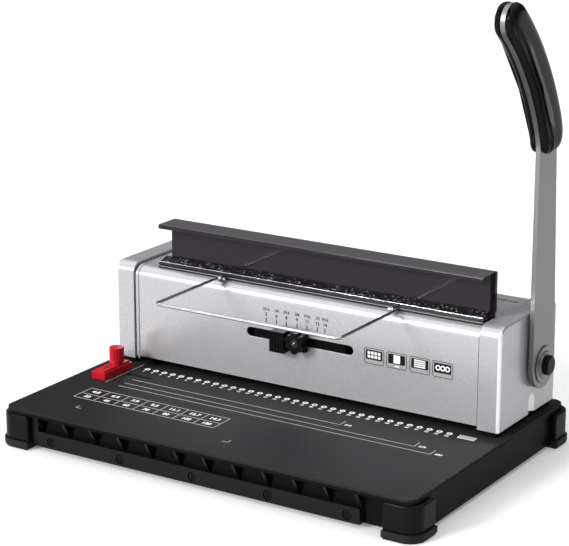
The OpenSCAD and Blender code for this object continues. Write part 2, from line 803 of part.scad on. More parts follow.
// The bar pushes all pins down at once; its ends run on the guide posts
module punch_bar() {
  bar_x_end = frame_x - clear;
  color([0.45, 0.46, 0.48]) difference() {
    box([-bar_x_end, row_y - bar_d / 2, bar_z], [bar_x_end, row_y + bar_d / 2, bar_z1]);
    pin_row(pin_side, bar_z - 1, bar_z1 - 4);
    both_sides() rod_z(post_x, row_y, bar_z - 1, bar_z1 + 1, post_r + shaft_gap);
  }
}

// Flank angle of an involute at a radius, on a base circle
function inv_at(rb, r) = let (a = acos(min(1, rb / r))) tan(a) * 180 / PI - a;

// Points of one gear tooth: flanks from root to tip and back
function tooth(m, n, centre) = let (
    r = m * n / 2, rb = r * cos(20), root = r - 1.25 * m, low = max(root + 0.01, rb),
    half = 90 / n - flank_gap / r * 180 / PI,
    radii = [low, low + (r - low) * 0.55, r, r + 0.55 * m, r + m],
    away = [for (q = radii) half + inv_at(rb, r) - inv_at(rb, q)])
  concat(
    [root * [cos(centre - away[0]), sin(centre - away[0])]],
    [for (i = [0:len(radii) - 1]) radii[i] * [cos(centre - away[i]), sin(centre - away[i])]],
    [for (i = [len(radii) - 1:-1:0]) radii[i] * [cos(centre + away[i]), sin(centre + away[i])]],
    [root * [cos(centre + away[0]), sin(centre + away[0])]]);

// Outline of gear teeth from one tooth number to another; tooth 0 points to the front
function gear_outline(m, n, first, last) =
  [for (k = [last:-1:first]) each tooth(m, n, 180 - k * 360 / n)];

// Outline of a rack with its teeth to the rear; a space lies level with the shaft
function rack_outline(m, count, back) = let (
    pitch = PI * m, t = tan(20), half = pitch / 4 - flank_gap)
  concat([[-back, -count * pitch / 2]],
    [for (k = [0:count - 1]) let (c = (k - count / 2 + 0.5) * pitch)
      each [[-1.25 * m, c - half - 1.25 * m * t], [m, c - half + m * t],
        [m, c + half - m * t], [-1.25 * m, c + half + 1.25 * m * t]]],
    [[-back, count * pitch / 2]]);

// How far the teeth reach above the shaft at rest
punch_rack_n = 2 * ceil((punch_stroke + 12) / (2 * PI * punch_module));
punch_rack_up = floor((punch_stroke + 2) / (2 * PI * punch_module)) * PI * punch_module;
closer_rack_n = 2 * ceil((closer_stroke + 14) / (2 * PI * closer_module));
rack_face = shaft_y - closer_r - 1.25 * closer_module;
rack_screw_z = cover_z - sheet - 7;
closer_rack_up = floor((closer_stroke + 2) / (2 * PI * closer_module)) * PI * closer_module;

module punch_racks() {
  pitch_y = shaft_y - punch_r;
  rack_back = 8;
  top = shaft_z + punch_rack_up + punch_rack_n * PI * punch_module / 2;
  color([0.5, 0.5, 0.52]) both_sides() along_x(punch_gear_x, punch_gear_x + gear_w) union() {
    translate([pitch_y, shaft_z + punch_rack_up])
      polygon(rack_outline(punch_module, punch_rack_n, rack_back));
    polygon([[row_y + bar_d / 2, bar_z], [pitch_y - 1.25 * punch_module, bar_z],
      [pitch_y - 1.25 * punch_module, bar_z + 11], [pitch_y - 1.25 * punch_module, top],
      [pitch_y - rack_back, top], [pitch_y - rack_back, bar_z1], [row_y + bar_d / 2, bar_z1]]);
  }
}

module closer_racks() {
  pitch_y = shaft_y - closer_r;
  rack_back = pitch_y - jaw_y1;
  z_mid = shaft_z + closer_rack_up;
  rack_top = cover_z - sheet - 1;
  color([0.5, 0.5, 0.52]) both_sides() difference() {
    along_x(closer_gear_x, closer_gear_x + gear_w) union() {
      translate([pitch_y, z_mid]) polygon(rack_outline(closer_module, closer_rack_n, rack_back));
      translate([jaw_y1, z_mid]) square([rack_face - jaw_y1, rack_top - z_mid]);
    }
    rod_y(closer_gear_x + gear_w / 2, jaw_y1 - 1, pitch_y + 5, rack_screw_z, 1.6);
  }
}

module rack_screws() {
  color([0.4, 0.4, 0.42]) both_sides() {
    rod_y(closer_gear_x + gear_w / 2, jaw_y1 - 6, rack_face + eps, rack_screw_z, 1.55);
    rod_y(closer_gear_x + gear_w / 2, rack_face, rack_face + 2.2, rack_screw_z, 3);
  }
}

module cross_shaft() {
  color([0.68, 0.68, 0.7]) difference() {
    union() {
      rod_x(-frame_x1 - 5, bar_x, shaft_y, shaft_z, shaft_r);
      rod_x(bar_x - eps, bar_x1, shaft_y, shaft_z, shaft_r - 1);
    }
    rod_x(bar_x - 14, bar_x1 + 1, shaft_y, shaft_z, 2.55);
  }
}

module shaft_bushes() {
  color([0.72, 0.55, 0.3]) both_sides() difference() {
    union() {
      rod_x(frame_x, frame_x1, shaft_y, shaft_z, bush_r - 0.02);
      rod_x(frame_x - 2, frame_x, shaft_y, shaft_z, bush_r + 2.5);
    }
    rod_x(frame_x - 3, frame_x1 + 1, shaft_y, shaft_z, shaft_r + shaft_gap);
  }
}

module punch_pinions() {
  color([0.55, 0.55, 0.57]) both_sides() difference() {
    along_x(punch_gear_x - 1, punch_gear_x + gear_w + 1) translate([shaft_y, shaft_z])
      polygon(gear_outline(punch_module, punch_teeth, 0, punch_teeth - 1));
    rod_x(punch_gear_x - 2, punch_gear_x + gear_w + 2, shaft_y, shaft_z, shaft_r + 0.02);
  }
}

// Only the teeth that meet the rack are cut; the rest is a web and a hub
module closer_sectors() {
  last_tooth = ceil((handle_turn + 20) * closer_teeth / 360);
  color([0.55, 0.55, 0.57]) both_sides() difference() {
    union() {
      along_x(closer_gear_x + 0.5, closer_gear_x + gear_w - 0.5) translate([shaft_y, shaft_z])
        polygon(concat([[0, 0]], [for (k = [last_tooth:-1:-2])
          each tooth(closer_module, closer_teeth, 180 - k * 360 / closer_teeth)]));
      rod_x(closer_gear_x - 2, closer_gear_x + gear_w + 1.5, shaft_y, shaft_z, shaft_r + 5);
    }
    rod_x(closer_gear_x - 3, closer_gear_x + gear_w + 2, shaft_y, shaft_z, shaft_r + 0.02);
  }
}

// A coil of round wire round an upright post, as one closed tube
module coil(height, radius, wire, turns, sides = 8) {
  steps = turns * 16;
  points = [for (i = [0:steps]) let (a = i * 360 * turns / steps,
      z = wire + (height - 2 * wire) * i / steps)
    for (j = [0:sides - 1]) let (b = j * 360 / sides, r = radius + wire * cos(b))
      [r * cos(a), r * sin(a), z + wire * sin(b)]];
  walls = [for (i = [0:steps - 1], j = [0:sides - 1]) let (k = (j + 1) % sides)
    [i * sides + j, i * sides + k, (i + 1) * sides + k, (i + 1) * sides + j]];
  first = [[for (j = [sides - 1:-1:0]) j]];
  last = [[for (j = [0:sides - 1]) steps * sides + j]];
  polyhedron(points, concat(walls, first, last));
}

// Springs on the guide posts push the punch bar back up
module return_springs() {
  color([0.4, 0.42, 0.45]) both_sides()
    translate([post_x, row_y, guide_z1]) coil(spring_l, post_r + 0.8, 0.4, 4);
}

// Blocks on the side frames that hold the closer racks against the sectors
module rack_guides() {
  y0 = row_y + bar_d / 2 + clear;
  z0 = guide_z1 + 5;
  z1 = front_top;
  color([0.3, 0.3, 0.32]) both_sides() {
    box([closer_gear_x + gear_w + gap, y0, z0], [frame_x, shaft_y - closer_r - 3, z1]);
    box([closer_gear_x, y0, z0], [frame_x, jaw_y1 - gap, z1]);
  }
}

// The moving jaw: an upright with a flange along its top
module closer_bar() {
  front = jaw_y - flange_reach;
  color([0.07, 0.06, 0.07]) difference() {
    union() {
      along_x(upright_x0, closer_x1)
        translate([jaw_y, upright_z]) square([upright_t, jaw_top - upright_z]);
      along_x(closer_x0, closer_x1 + 0.4) union() {
        translate([front + 1.2, jaw_under]) square([jaw_y1 - front - 1.2, jaw_flange_t]);
        translate([front, jaw_under]) square([2, jaw_flange_t - 1.2]);
        translate([front + 1.2, jaw_top - 1.2]) circle(r = 1.2);
      }
    }
    along_x(closer_x0 - 1, closer_x1 + 1) translate([jaw_y1 - 1.5, cover_z + 10]) square([3, 12]);
    both_sides() rod_y(closer_gear_x + gear_w / 2, jaw_y1 - 7, jaw_y1 + 1, rack_screw_z, 1.6);
  }
}

// A finger on the upright comes down onto the gauge's step
module stop_finger() {
  y0 = cover_y + sheet + gap + 2.5;
  z0 = gauge_z + (gauge_steps - 1) * gauge_rise + closer_stroke + clear;
  color([0.55, 0.55, 0.57]) {
    box([-4, y0, z0], [4, y0 + 5.5, upright_z + 8]);
    box([-4, y0, upright_z], [4, jaw_y, upright_z + 8]);
  }
}

module closer_platen() {
  color([0.06, 0.06, 0.07]) along_x(platen_x0, closer_x1) difference() {
    translate([jaw_y - platen_reach, cover_z]) square([platen_reach - clear, platen_h - pad_t]);
    translate([jaw_y - platen_reach - 1, cover_z + platen_h - pad_t - 2.2]) square([2.2, 1]);
  }
}

module closer_pad() {
  color([0.03, 0.03, 0.03]) box([platen_x0 + 1, jaw_y - platen_reach + 1.2, platen_z - pad_t],
    [closer_x1 - 1, jaw_y - clear, platen_z]);
}

// Half width of a scale's body along the centre line
function scale_body(l) = grip_half + (tip_half - grip_half) * max(0, l) / grip_len;

// Half width of the bar along its centre line: it widens into the grip, almost to the grip's edge
function bar_width(l) = scale_body(l) - bar_inset - (grip_half - bar_inset - bar_neck) * max(0, 1 - l / 12);

// Side view of the bar: a round foot, a tapering shank and the curve of the grip
module bar_profile() {
  n = 30;
  polygon(concat(
    arc(p0[0], p0[1], bar_foot, 180 + a0, 360 + a0, 24),
    [for (i = [0:n]) let (l = grip_len * i / n) grip_side(l, bar_width(l))],
    let (e = grip_point(grip_len)) arc(e[0], e[1], tip_half - bar_inset, a2, a2 + 180, 20),
    [for (i = [n:-1:0]) let (l = grip_len * i / n) grip_side(l, -bar_width(l))]));
}

module handle_bar() {
  color([0.62, 0.62, 0.63]) difference() {
    along_x(bar_x, bar_x1) bar_profile();
    rod_x(bar_x - 1, bar_x1 + 1, shaft_y, shaft_z, shaft_r - 0.98);
    for (l = pin_places) let (p = grip_point(l)) rod_x(bar_x - 1, bar_x1 + 1, p[0], p[1], 2.02);
  }
}

pin_places = [grip_len * 0.22, grip_len * 0.78];

// Half width of a scale: rounded at the foot and round at the tip
foot_round = 14;
foot_lean = 0.5;  // how far the foot's lowest point lies towards the front
function scale_half(l) = let (up = l + grip_below, tip = grip_len + tip_half - l)
  up < foot_round ? scale_body(l) * sqrt(max(0, 1 - pow((foot_round - up) / foot_round, 2.2))) :
  tip < tip_half ? tip_half * sqrt(max(0, 1 - pow((tip_half - tip) / tip_half, 2))) : scale_body(l);

// Middle of a scale's row of points, which leans to the front at the foot
function scale_middle(l, w) = grip_side(l, l < bend_len ? foot_lean * (w - scale_body(l)) : 0);

// Height of a scale's face over the bar at a place across it, from -1 to 1
function scale_rise(v, fill) = let (round = pow(max(0, 1 - pow(abs(v), 4)), 0.5))
  grip_t * (0.1 + 0.9 * round) * fill - groove_d * fill * exp(-pow((v + 0.6) / 0.11, 2));

// One scale of the grip, lofted along the curve and closed on the bar's face
module grip_scale() {
  n = 36;
  m = 24;
  low = -grip_below + 0.25;
  high = grip_len + tip_half - 0.35;
  places = [for (i = [0:n]) let (t = i / n) low + (high - low) * (t - sin(360 * t) / 10)];
  ring = [for (l = places) let (w = max(0.4, scale_half(l)), c = scale_middle(l, w), a = grip_angle(l),
      fill = min(1, pow(w / tip_half, 0.5) * 1.02))
    [for (j = [0:m]) let (v = -1 + 2 * j / m, q = c + w * v * [cos(a), sin(a)])
      [max(0.25, scale_rise(v, fill)), q[0], q[1]]]];
  base = [for (l = places) let (w = max(0.4, scale_half(l)), c = scale_middle(l, w), a = grip_angle(l))
    [for (v = [1, -1]) let (q = c + w * v * [cos(a), sin(a)]) [0, q[0], q[1]]]];
  row = m + 3;
  points = [for (i = [0:n]) each concat(ring[i], base[i])];
  walls = [for (i = [0:n - 1], j = [0:row - 1]) let (k = (j + 1) % row)
    [i * row + j, (i + 1) * row + j, (i + 1) * row + k, i * row + k]];
  polyhedron(points, concat(walls, [[for (j = [0:row - 1]) j]],
    [[for (j = [row - 1:-1:0]) n * row + j]]));
}

module grip_outer() {
  color([0.05, 0.05, 0.05]) translate([bar_x1, 0, 0]) grip_scale();
}

module grip_inner() {
  color([0.05, 0.05, 0.05]) translate([bar_x, 0, 0]) mirror([1, 0, 0]) grip_scale();
}

module grip_pins() {
  color([0.5, 0.5, 0.5]) for (l = pin_places) let (p = grip_point(l))
    rod_x(bar_x, bar_x1, p[0], p[1], 2);
}

module handle_spacer() {
  color([0.1, 0.1, 0.1]) difference() {
    rod_x(cap_x + gap, bar_x, shaft_y, shaft_z, 11);
    rod_x(cap_x, bar_x + 1, shaft_y, shaft_z, shaft_r + 0.02);
  }
}

module handle_washers() {
  color([0.6, 0.6, 0.61]) difference() {
    union() {
      rod_x(bar_x1, bar_x1 + 1.3, shaft_y, shaft_z, 14.5);
      rod_x(bar_x1 + 1.2, bar_x1 + 2.5, shaft_y, shaft_z, 10.5);
    }
    rod_x(bar_x1 - 1, bar_x1 + 3, shaft_y, shaft_z, 2.6);
  }
}

module handle_bolt() {
  head_r = 7.8;
  color([0.05, 0.05, 0.05]) {
    rod_x(bar_x1 + 2.5, bar_x1 + 5.5, shaft_y, shaft_z, head_r);
    translate([bar_x1 + 5.5, shaft_y, shaft_z]) rotate([0, 90, 0]) cylinder(h = 1, r1 = head_r, r2 = head_r - 1);
    rod_x(bar_x - 10, bar_x1 + 2.6, shaft_y, shaft_z, 2.5);
  }
}

// A U of round wire with bent corners, whose ends turn inward through the eyes
module wire_rest() {
  x0 = rest_x - rest_w / 2;
  x1 = rest_x + rest_w / 2;
  front = rest_y - rest_l;
  color([0.8, 0.8, 0.82]) {
    rod_x(x0 + rest_bend, x1 - rest_bend, front, rest_z, rod_r);
    for (x = [x0, x1]) rod_y(x, front + rest_bend, rest_y, rest_z, rod_r);
    translate([x0 + rest_bend, front + rest_bend, rest_z]) rotate([0, 0, 180]) wire_bend();
    translate([x1 - rest_bend, front + rest_bend, rest_z]) rotate([0, 0, 270]) wire_bend();
    rod_x(x0, x0 + 7, rest_y, rest_z, rod_r);
    rod_x(x1 - 7, x1, rest_y, rest_z, rod_r);
    for (x = [x0, x1]) translate([x, rest_y, rest_z]) sphere(r = rod_r);
  }
}

module wire_bend() {
  rotate_extrude(angle = 90) translate([rest_bend, 0]) circle(r = rod_r);
}

// An eye is a small plate with a round head, set on the cover's nose
module rest_eyes() {
  head = rod_r + 1.6;
  color([0.75, 0.75, 0.77]) for (x = [rest_x - rest_w / 2 + 2, rest_x + rest_w / 2 - 4.5])
    along_x(x, x + 2.5) difference() {
      union() {
        translate([rest_y, rest_z]) circle(r = head);
        polygon([[rest_y, rest_z + head - 0.3], [jaw_y - platen_reach - gap, rest_z + 0.5],
          [jaw_y - platen_reach - gap, cover_z - 1.2], [rest_y - head + 0.1, rest_z]]);
      }
      translate([rest_y, rest_z]) circle(r = rod_r + shaft_gap);
      translate([cover_y + nose_r, cover_z - nose_r]) circle(r = nose_r + 0.05, $fn = 96);
      translate([cover_y + nose_r - 0.1, cover_z - 20]) square([20, 20]);
    }
}

// The slider's neck runs in the slot; its grip has upright flutes
module adjuster_slider() {
  neck = slot_w - 2 * gap;
  y0 = cover_y - slider_out;
  z0 = slider_z - slider_h / 2;
  color([0.07, 0.07, 0.07]) difference() {
    union() {
      box([slider_x0, y0, z0], [slider_x0 + slider_w, cover_y - 4 - gap, z0 + slider_h]);
      box([slider_x0, cover_y - 4 - gap - eps, slider_z - slider_h / 2 + 1],
        [clamp_x + 6, cover_y - gap, slider_z + slider_h / 2 - 1]);
      box([slider_x0 + 2, cover_y - gap - eps, slider_z - neck / 2],
        [clamp_x + 4, cover_y + sheet + gap, slider_z + neck / 2]);
    }
    for (i = [0:4]) rod_z(slider_x0 + slider_w * (i + 0.5) / 5, y0 - 0.4, z0 - 1, z0 + slider_h + 1, 1.1);
    rod_y(clamp_x, cover_y - 6, cover_y + sheet + 1, clamp_z, 2.05);
  }
}

// Behind the cover a stepped gauge goes with the slider and sets how far the jaw may close
module depth_gauge() {
  y0 = cover_y + sheet + gap;
  step_w = 12;
  color([0.6, 0.6, 0.62]) difference() {
    union() {
      box([-gauge_steps * step_w / 2, y0, gauge_z - 4], [gauge_steps * step_w / 2, y0 + 2, slider_z + 5]);
      for (i = [0:gauge_steps - 1])
        box([(i - gauge_steps / 2) * step_w, y0, gauge_z - 4],
          [(i + 1 - gauge_steps / 2) * step_w, y0 + 8.5, gauge_z + i * gauge_rise]);
    }
    rod_y(clamp_x, y0 - 1, y0 + 3, clamp_z, 2.05);
  }
}

module clamp_knob() {
  y0 = cover_y - slider_out + 1;
  lobes = 6;
  color([0.06, 0.06, 0.06]) difference() {
    rod_y(clamp_x, y0, cover_y - 4 - 2 * gap, clamp_z, clamp_r);
    for (i = [0:lobes - 1]) translate([clamp_x, y0 - 1, clamp_z]) rotate([0, i * 360 / lobes, 0])
      translate([clamp_r + 1.4, 0, 0]) rotate([-90, 0, 0]) cylinder(h = slider_out, r = 2.6);
    rod_y(clamp_x, y0 - 1, cover_y, clamp_z, 2.02);
    rod_y(clamp_x, y0 - 1, y0 + 2, clamp_z, 3.4);
  }
}

module clamp_screw() {
  y0 = cover_y - slider_out + 1;
  color([0.8, 0.8, 0.82]) difference() {
    union() {
      rod_y(clamp_x, y0 + 0.6, y0 + 2, clamp_z, 3.2);
      rod_y(clamp_x, y0 + 1.8, cover_y + sheet + gap + 2, clamp_z, 2);
    }
    translate([clamp_x, y0 + 0.6, clamp_z]) cube([5, 1.4, 0.9], center = true);
  }
}

// The block's right face is where the paper's edge stands
module guide_block() {
  x0 = block_x - block_w / 2;
  x1 = block_x + block_w / 2;
  color([0.75, 0, 0.06]) difference() {
    union() {
      box([x0, block_y1 - block_l, table_h + gap], [x1, block_y1, table_h + block_h - 1.5]);
      box([x0 + 1.5, block_y1 - block_l + 1.5, table_h + block_h - 1.5 - eps],
        [x1 - 1.5, block_y1 - 1.5, table_h + block_h]);
      rod_z(block_x, track_y, table_h + block_h - 1, table_h + block_h + 0.8, guide_knob_r - 0.5);
    }
    rod_z(block_x, track_y, table_h, table_h + block_h + 1, stud_r + shaft_gap);
  }
}

module guide_knob() {
  z0 = table_h + block_h + 1.1;
  flutes = 16;
  color([0.78, 0, 0.07]) difference() {
    union() {
      rod_z(block_x, track_y, z0, table_h + block_h + guide_knob_h, guide_knob_r);
      rod_z(block_x, track_y, plate_z - 4, z0 + 0.5, stud_r);
    }
    for (i = [0:flutes - 1]) rotate_about(block_x, track_y, i * 360 / flutes)
      rod_z(block_x + guide_knob_r + 0.35, track_y, z0 + 2.5, table_h + block_h + guide_knob_h + 1, 0.8);
  }
}

// Turns the children round an upright line
module rotate_about(x, y, a) {
  translate([x, y, 0]) rotate([0, 0, a]) translate([-x, -y, 0]) children();
}

module guide_nut() {
  color([0.55, 0.55, 0.57]) difference() {
    translate([block_x, track_y, plate_z - gap - 3]) cylinder(h = 3, r = 4.6, $fn = 6);
    rod_z(block_x, track_y, plate_z - 5, plate_z, stud_r + 0.02);
  }
}

base_frame();
top_plate();
bottom_plate();
bottom_screws();
front_panel();
panel_screws();
corner_boots();
foot_pads();
tray_rails();
chip_tray();
housing_cover();
end_cap_left();
end_cap_right();
housing_plinth();
cap_screws();
side_frames();
frame_screws();
tie_rods();
tie_rod_nuts();
die_bar();
paper_stop();
pin_guide();
guide_posts();
punch_pins();
punch_bar();
punch_racks();
cross_shaft();
shaft_bushes();
punch_pinions();
closer_sectors();
return_springs();
rack_guides();
closer_bar();
closer_racks();
rack_screws();
stop_finger();
closer_platen();
closer_pad();
handle_bar();
grip_outer();
grip_inner();
grip_pins();
handle_spacer();
handle_washers();
handle_bolt();
wire_rest();
rest_eyes();
adjuster_slider();
depth_gauge();
clamp_knob();
clamp_screw();
guide_block();
guide_knob();
guide_nut();
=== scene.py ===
"""Looks of the wire binding machine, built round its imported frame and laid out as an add-on.

Lengths are metres in the machine's own frame: X to the right, Y to the rear, Z up from the table.
"""

import json
import math

import bmesh
import bpy
from bpy.props import FloatProperty, FloatVectorProperty, IntProperty, PointerProperty
from mathutils import Matrix, Vector


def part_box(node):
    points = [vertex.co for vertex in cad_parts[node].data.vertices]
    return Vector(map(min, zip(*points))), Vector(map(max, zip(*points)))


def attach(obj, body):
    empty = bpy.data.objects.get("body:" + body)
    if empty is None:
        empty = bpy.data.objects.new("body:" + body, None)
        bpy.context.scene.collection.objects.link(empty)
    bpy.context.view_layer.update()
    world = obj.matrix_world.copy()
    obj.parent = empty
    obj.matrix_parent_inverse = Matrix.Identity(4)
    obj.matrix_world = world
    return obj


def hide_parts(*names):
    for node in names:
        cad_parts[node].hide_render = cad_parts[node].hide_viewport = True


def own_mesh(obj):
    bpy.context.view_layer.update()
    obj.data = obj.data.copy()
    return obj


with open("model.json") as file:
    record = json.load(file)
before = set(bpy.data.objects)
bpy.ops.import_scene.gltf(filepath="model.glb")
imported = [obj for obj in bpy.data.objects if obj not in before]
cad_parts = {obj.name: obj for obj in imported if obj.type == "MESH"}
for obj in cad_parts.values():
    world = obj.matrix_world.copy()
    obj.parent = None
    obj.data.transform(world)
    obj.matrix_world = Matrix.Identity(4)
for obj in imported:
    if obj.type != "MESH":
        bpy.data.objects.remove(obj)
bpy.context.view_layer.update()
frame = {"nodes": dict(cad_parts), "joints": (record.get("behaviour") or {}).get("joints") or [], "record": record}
MM = 0.001
MERGE = 1e-7
CAD_MERGE = 2e-6
SAME_PLANE = 0.02 * MM
INK_RISE = 0.03 * MM
INK_SINK = 0.01 * MM
STROKE_SHARE = 0.05
LINE_SHARE = 1.38
ROD_SIDES = 10

bl_info = {
    "name": "Wire binding machine",
    "version": (1, 0, 0),
    "blender": (4, 5, 0),
    "location": "View3D > Sidebar > Binder",
    "description": "Dresses the packed wire binding machine with its finishes and fine parts",
    "category": "Object",
}


# Finishes

class Signal:
    """A socket in a finish's nodes. A sum, product or power of signals adds a Math node."""

    def __init__(self, finish, socket):
        self.finish, self.socket = finish, socket

    def _sum(self, operation, first, second):
        return self.finish.node("ShaderNodeMath", {"operation": operation}, {0: first, 1: second})

    def __add__(self, other):
        return self._sum("ADD", self, other)

    def __sub__(self, other):
        return self._sum("SUBTRACT", self, other)

    def __rsub__(self, other):
        return self._sum("SUBTRACT", other, self)

    def __mul__(self, other):
        return self._sum("MULTIPLY", self, other)

    def __pow__(self, other):
        return self._sum("POWER", self, other)

    def __rpow__(self, other):
        return self._sum("POWER", other, self)

    def above(self, level):
        return self._sum("GREATER_THAN", self, level)

    __radd__ = __add__
    __rmul__ = __mul__


class Nodes:
    """A node tree, with one method that adds any node to it."""

    def __init__(self, tree):
        self.tree = tree

    def feed(self, socket, value):
        if isinstance(value, Signal):
            self.tree.links.new(value.socket, socket)
        else:
            socket.default_value = value

    def node(self, kind, settings=None, sockets=None, output=0):
        made = self.tree.nodes.new(kind)
        for name, value in (settings or {}).items():
            if name == "stops":
                ramp = made.color_ramp
                while len(ramp.elements) < len(value):
                    ramp.elements.new(0.5)
                for stop, (where, level) in zip(ramp.elements, value):
                    stop.position = where
                    stop.color = (level, level, level, 1.0)
            else:
                setattr(made, name, value)
        for name, value in (sockets or {}).items():
            self.feed(made.inputs[name], value)
        return Signal(self, made.outputs[output])

    def ramp(self, signal, *stops):
        return self.node("ShaderNodeValToRGB", {"stops": stops}, {"Fac": signal})


class Finish(Nodes):
    """A material and the nodes that feed its one shader."""

    made = {}

    def __init__(self, name, colour, roughness, **surface):
        self.material = bpy.data.materials.new(name)
        self.material.use_nodes = True
        super().__init__(self.material.node_tree)
        self.shader = self.tree.nodes["Principled BSDF"]
        self.put("Base Color", (*colour, 1.0))
        self.put("Roughness", roughness)
        for socket, value in surface.items():
            self.put(socket.replace("_", " "), value)
        self.place = self.node("ShaderNodeTexCoord", output="Object")
        Finish.made[name] = self

    def put(self, name, value):
        self.feed(self.shader.inputs[name], value)

    def stretched(self, stretch):
        return self.node("ShaderNodeMapping", sockets={"Vector": self.place, "Scale": stretch})

    def noise(self, grain, detail=2.0, stretch=(1.0, 1.0, 1.0)):
        """Soft noise from 0 to 1 whose lumps are about grain metres across."""
        return self.node("ShaderNodeTexNoise", None, {
            "Vector": self.stretched(stretch), "Scale": 1.0 / grain, "Detail": detail})

    def cells(self, grain):
        """Distance to the nearest of many points about grain metres apart."""
        return self.node("ShaderNodeTexVoronoi", None, {"Vector": self.place, "Scale": 1.0 / grain})

    def mix(self, share, first, second):
        return self.node("ShaderNodeMix", {"data_type": "RGBA"}, {
            0: share, 6: (*first, 1.0), 7: (*second, 1.0)}, 2)

    def tint(self, share, light, dark):
        self.put("Base Color", self.mix(share, dark, light))

    def bump(self, height, depth, strength=1.0):
        self.put("Normal", self.node("ShaderNodeBump", None, {
            "Height": height, "Distance": depth, "Strength": strength}))


def shade(colour, factor):
    return tuple(min(1.0, c * factor) for c in colour)


def moulded(name, colour, roughness, grain=0.5 * MM, depth=0.03 * MM, **surface):
    """Moulded plastic or rubber: a fine spark-eroded grain and faint handling marks."""
    f = Finish(name, colour, roughness, **surface)
    marks = f.noise(35 * MM, 4.0)
    pits = f.noise(grain, 3.0)
    f.tint(marks, shade(colour, 1.18), shade(colour, 0.86))
    f.put("Roughness", marks * 0.12 + (pits * 0.08 + (roughness - 0.1)))
    f.bump(pits, depth)
    return f


def painted(name, colour, roughness, flake, depth=0.012 * MM, **surface):
    """Sprayed paint: orange peel, fine flakes and a slight change of tone."""
    f = Finish(name, colour, roughness, **surface)
    cloud = f.noise(60 * MM, 3.0)
    speck = f.noise(0.35 * MM, 2.0)
    f.tint(cloud * 0.6 + speck * 0.4, shade(colour, 1.0 + flake), shade(colour, 1.0 - flake))
    f.put("Roughness", cloud * 0.06 + (speck * 0.08 + (roughness - 0.07)))
    f.bump(f.noise(1.4 * MM, 2.0) * 0.7 + speck * 0.3, depth)
    return f


def brushed(name, colour, roughness, stretch=(0.03, 1.0, 1.0), **surface):
    """Brushed or ground metal: fine lines one way, with broader bands among them."""
    f = Finish(name, colour, roughness, Metallic=1.0, **surface)
    lines = f.noise(0.25 * MM, 3.0, stretch)
    bands = f.noise(7 * MM, 2.0, stretch)
    f.tint(lines * 0.5 + bands * 0.5, shade(colour, 1.15), shade(colour, 0.82))
    f.put("Roughness", lines * 0.14 + (bands * 0.08 + (roughness - 0.1)))
    f.bump(lines, 0.01 * MM)
    return f


def plated(name, colour, roughness, **surface):
    """Bright plating with faint smears."""
    f = Finish(name, colour, roughness, Metallic=1.0, **surface)
    smear = f.noise(9 * MM, 3.0)
    f.tint(smear, shade(colour, 1.06), shade(colour, 0.92))
    f.put("Roughness", smear * 0.12 + (roughness - 0.05))
    return f


def granular(name, colour, roughness, grain, depth):
    """A gritty pad: rounded grains, some of which are smoother and painted light grey as painted glints."""
    f = Finish(name, colour, roughness, Specular_IOR_Level=0.15)
    grains = f.cells(grain)
    # Painted glints: a sparse share of grains get a light grey colour, as well as a smoother surface
    painted_glint = f.ramp(grains, (0.2, 1.0), (0.34, 0.0)) * f.noise(2.6 * MM, 1.0).above(0.52)
    f.tint(painted_glint, (0.42, 0.42, 0.44), colour)
    f.put("Roughness", roughness - painted_glint * 0.35)
    f.bump(1.0 - grains, depth)
    return f


def printed(name, colour, roughness=0.55):
    """Screen ink: slightly uneven cover."""
    f = Finish(name, colour, roughness, Specular_IOR_Level=0.1)
    wear = f.noise(2.5 * MM, 4.0)
    f.tint(wear, shade(colour, 1.05), shade(colour, 0.85))
    f.bump(f.noise(0.3 * MM), 0.01 * MM)
    return f


# Meshes

def finished(name, bm, finish, body, replaces=(), smooth=38.0):
    """Merges a bmesh, turns its normals outward and makes it a piece of the machine."""
    bmesh.ops.remove_doubles(bm, verts=bm.verts, dist=MERGE)
    bmesh.ops.recalc_face_normals(bm, faces=bm.faces)
    return placed(name, bm, finish, body, replaces, smooth)


def placed(name, bm, finish, body, replaces=(), smooth=38.0, weighted=False):
    """Makes a bmesh a piece with its finish, riding on a body and shown for the nodes it replaces."""
    mesh = bpy.data.meshes.new(name)
    bm.to_mesh(mesh)
    bm.free()
    mesh.shade_smooth()
    mesh.set_sharp_from_angle(angle=math.radians(smooth))
    piece = bpy.data.objects.new(name, mesh)
    bpy.context.scene.collection.objects.link(piece)
    mesh.materials.append(Finish.made[finish].material)
    if weighted:
        even = piece.modifiers.new("Even shading", "WEIGHTED_NORMAL")
        even.keep_sharp = True
    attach(piece, body)
    if replaces:
        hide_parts(*replaces)
    return piece


def body_of(node):
    for body, nodes in frame["record"]["behaviour"]["bodies"].items():
        if node in nodes:
            return body
    raise RuntimeError("no body holds " + node)


def cad_copy(node):
    """The node's own triangles, merged, with flat areas made whole."""
    bm = bmesh.new()
    bm.from_mesh(frame["nodes"][node].data)
    bmesh.ops.remove_doubles(bm, verts=bm.verts, dist=CAD_MERGE)
    bmesh.ops.dissolve_limit(bm, angle_limit=math.radians(0.5), verts=bm.verts, edges=bm.edges)
    return bm


def round_edges(bm, width, segments=3, angle=40.0, only=None):
    """Rounds the edges that turn by more than angle, or those that a test picks."""
    edges = [e for e in bm.edges if e.is_manifold and len(e.link_faces) == 2
             and abs(e.calc_face_angle(0.0)) > math.radians(angle) and (only is None or only(e))]
    if edges:
        bmesh.ops.bevel(bm, geom=edges, offset=width, offset_type="OFFSET", segments=segments,
                        profile=0.5, affect="EDGES", material=-1, clamp_overlap=True)


def soften(node, finish, width, segments=3, angle=40.0, only=None):
    """A copy of a node with its edges rounded, which is shown in its place."""
    bm = cad_copy(node)
    round_edges(bm, width, segments, angle, only)
    return placed(node + "_look", bm, finish, body_of(node), (node,), weighted=True)


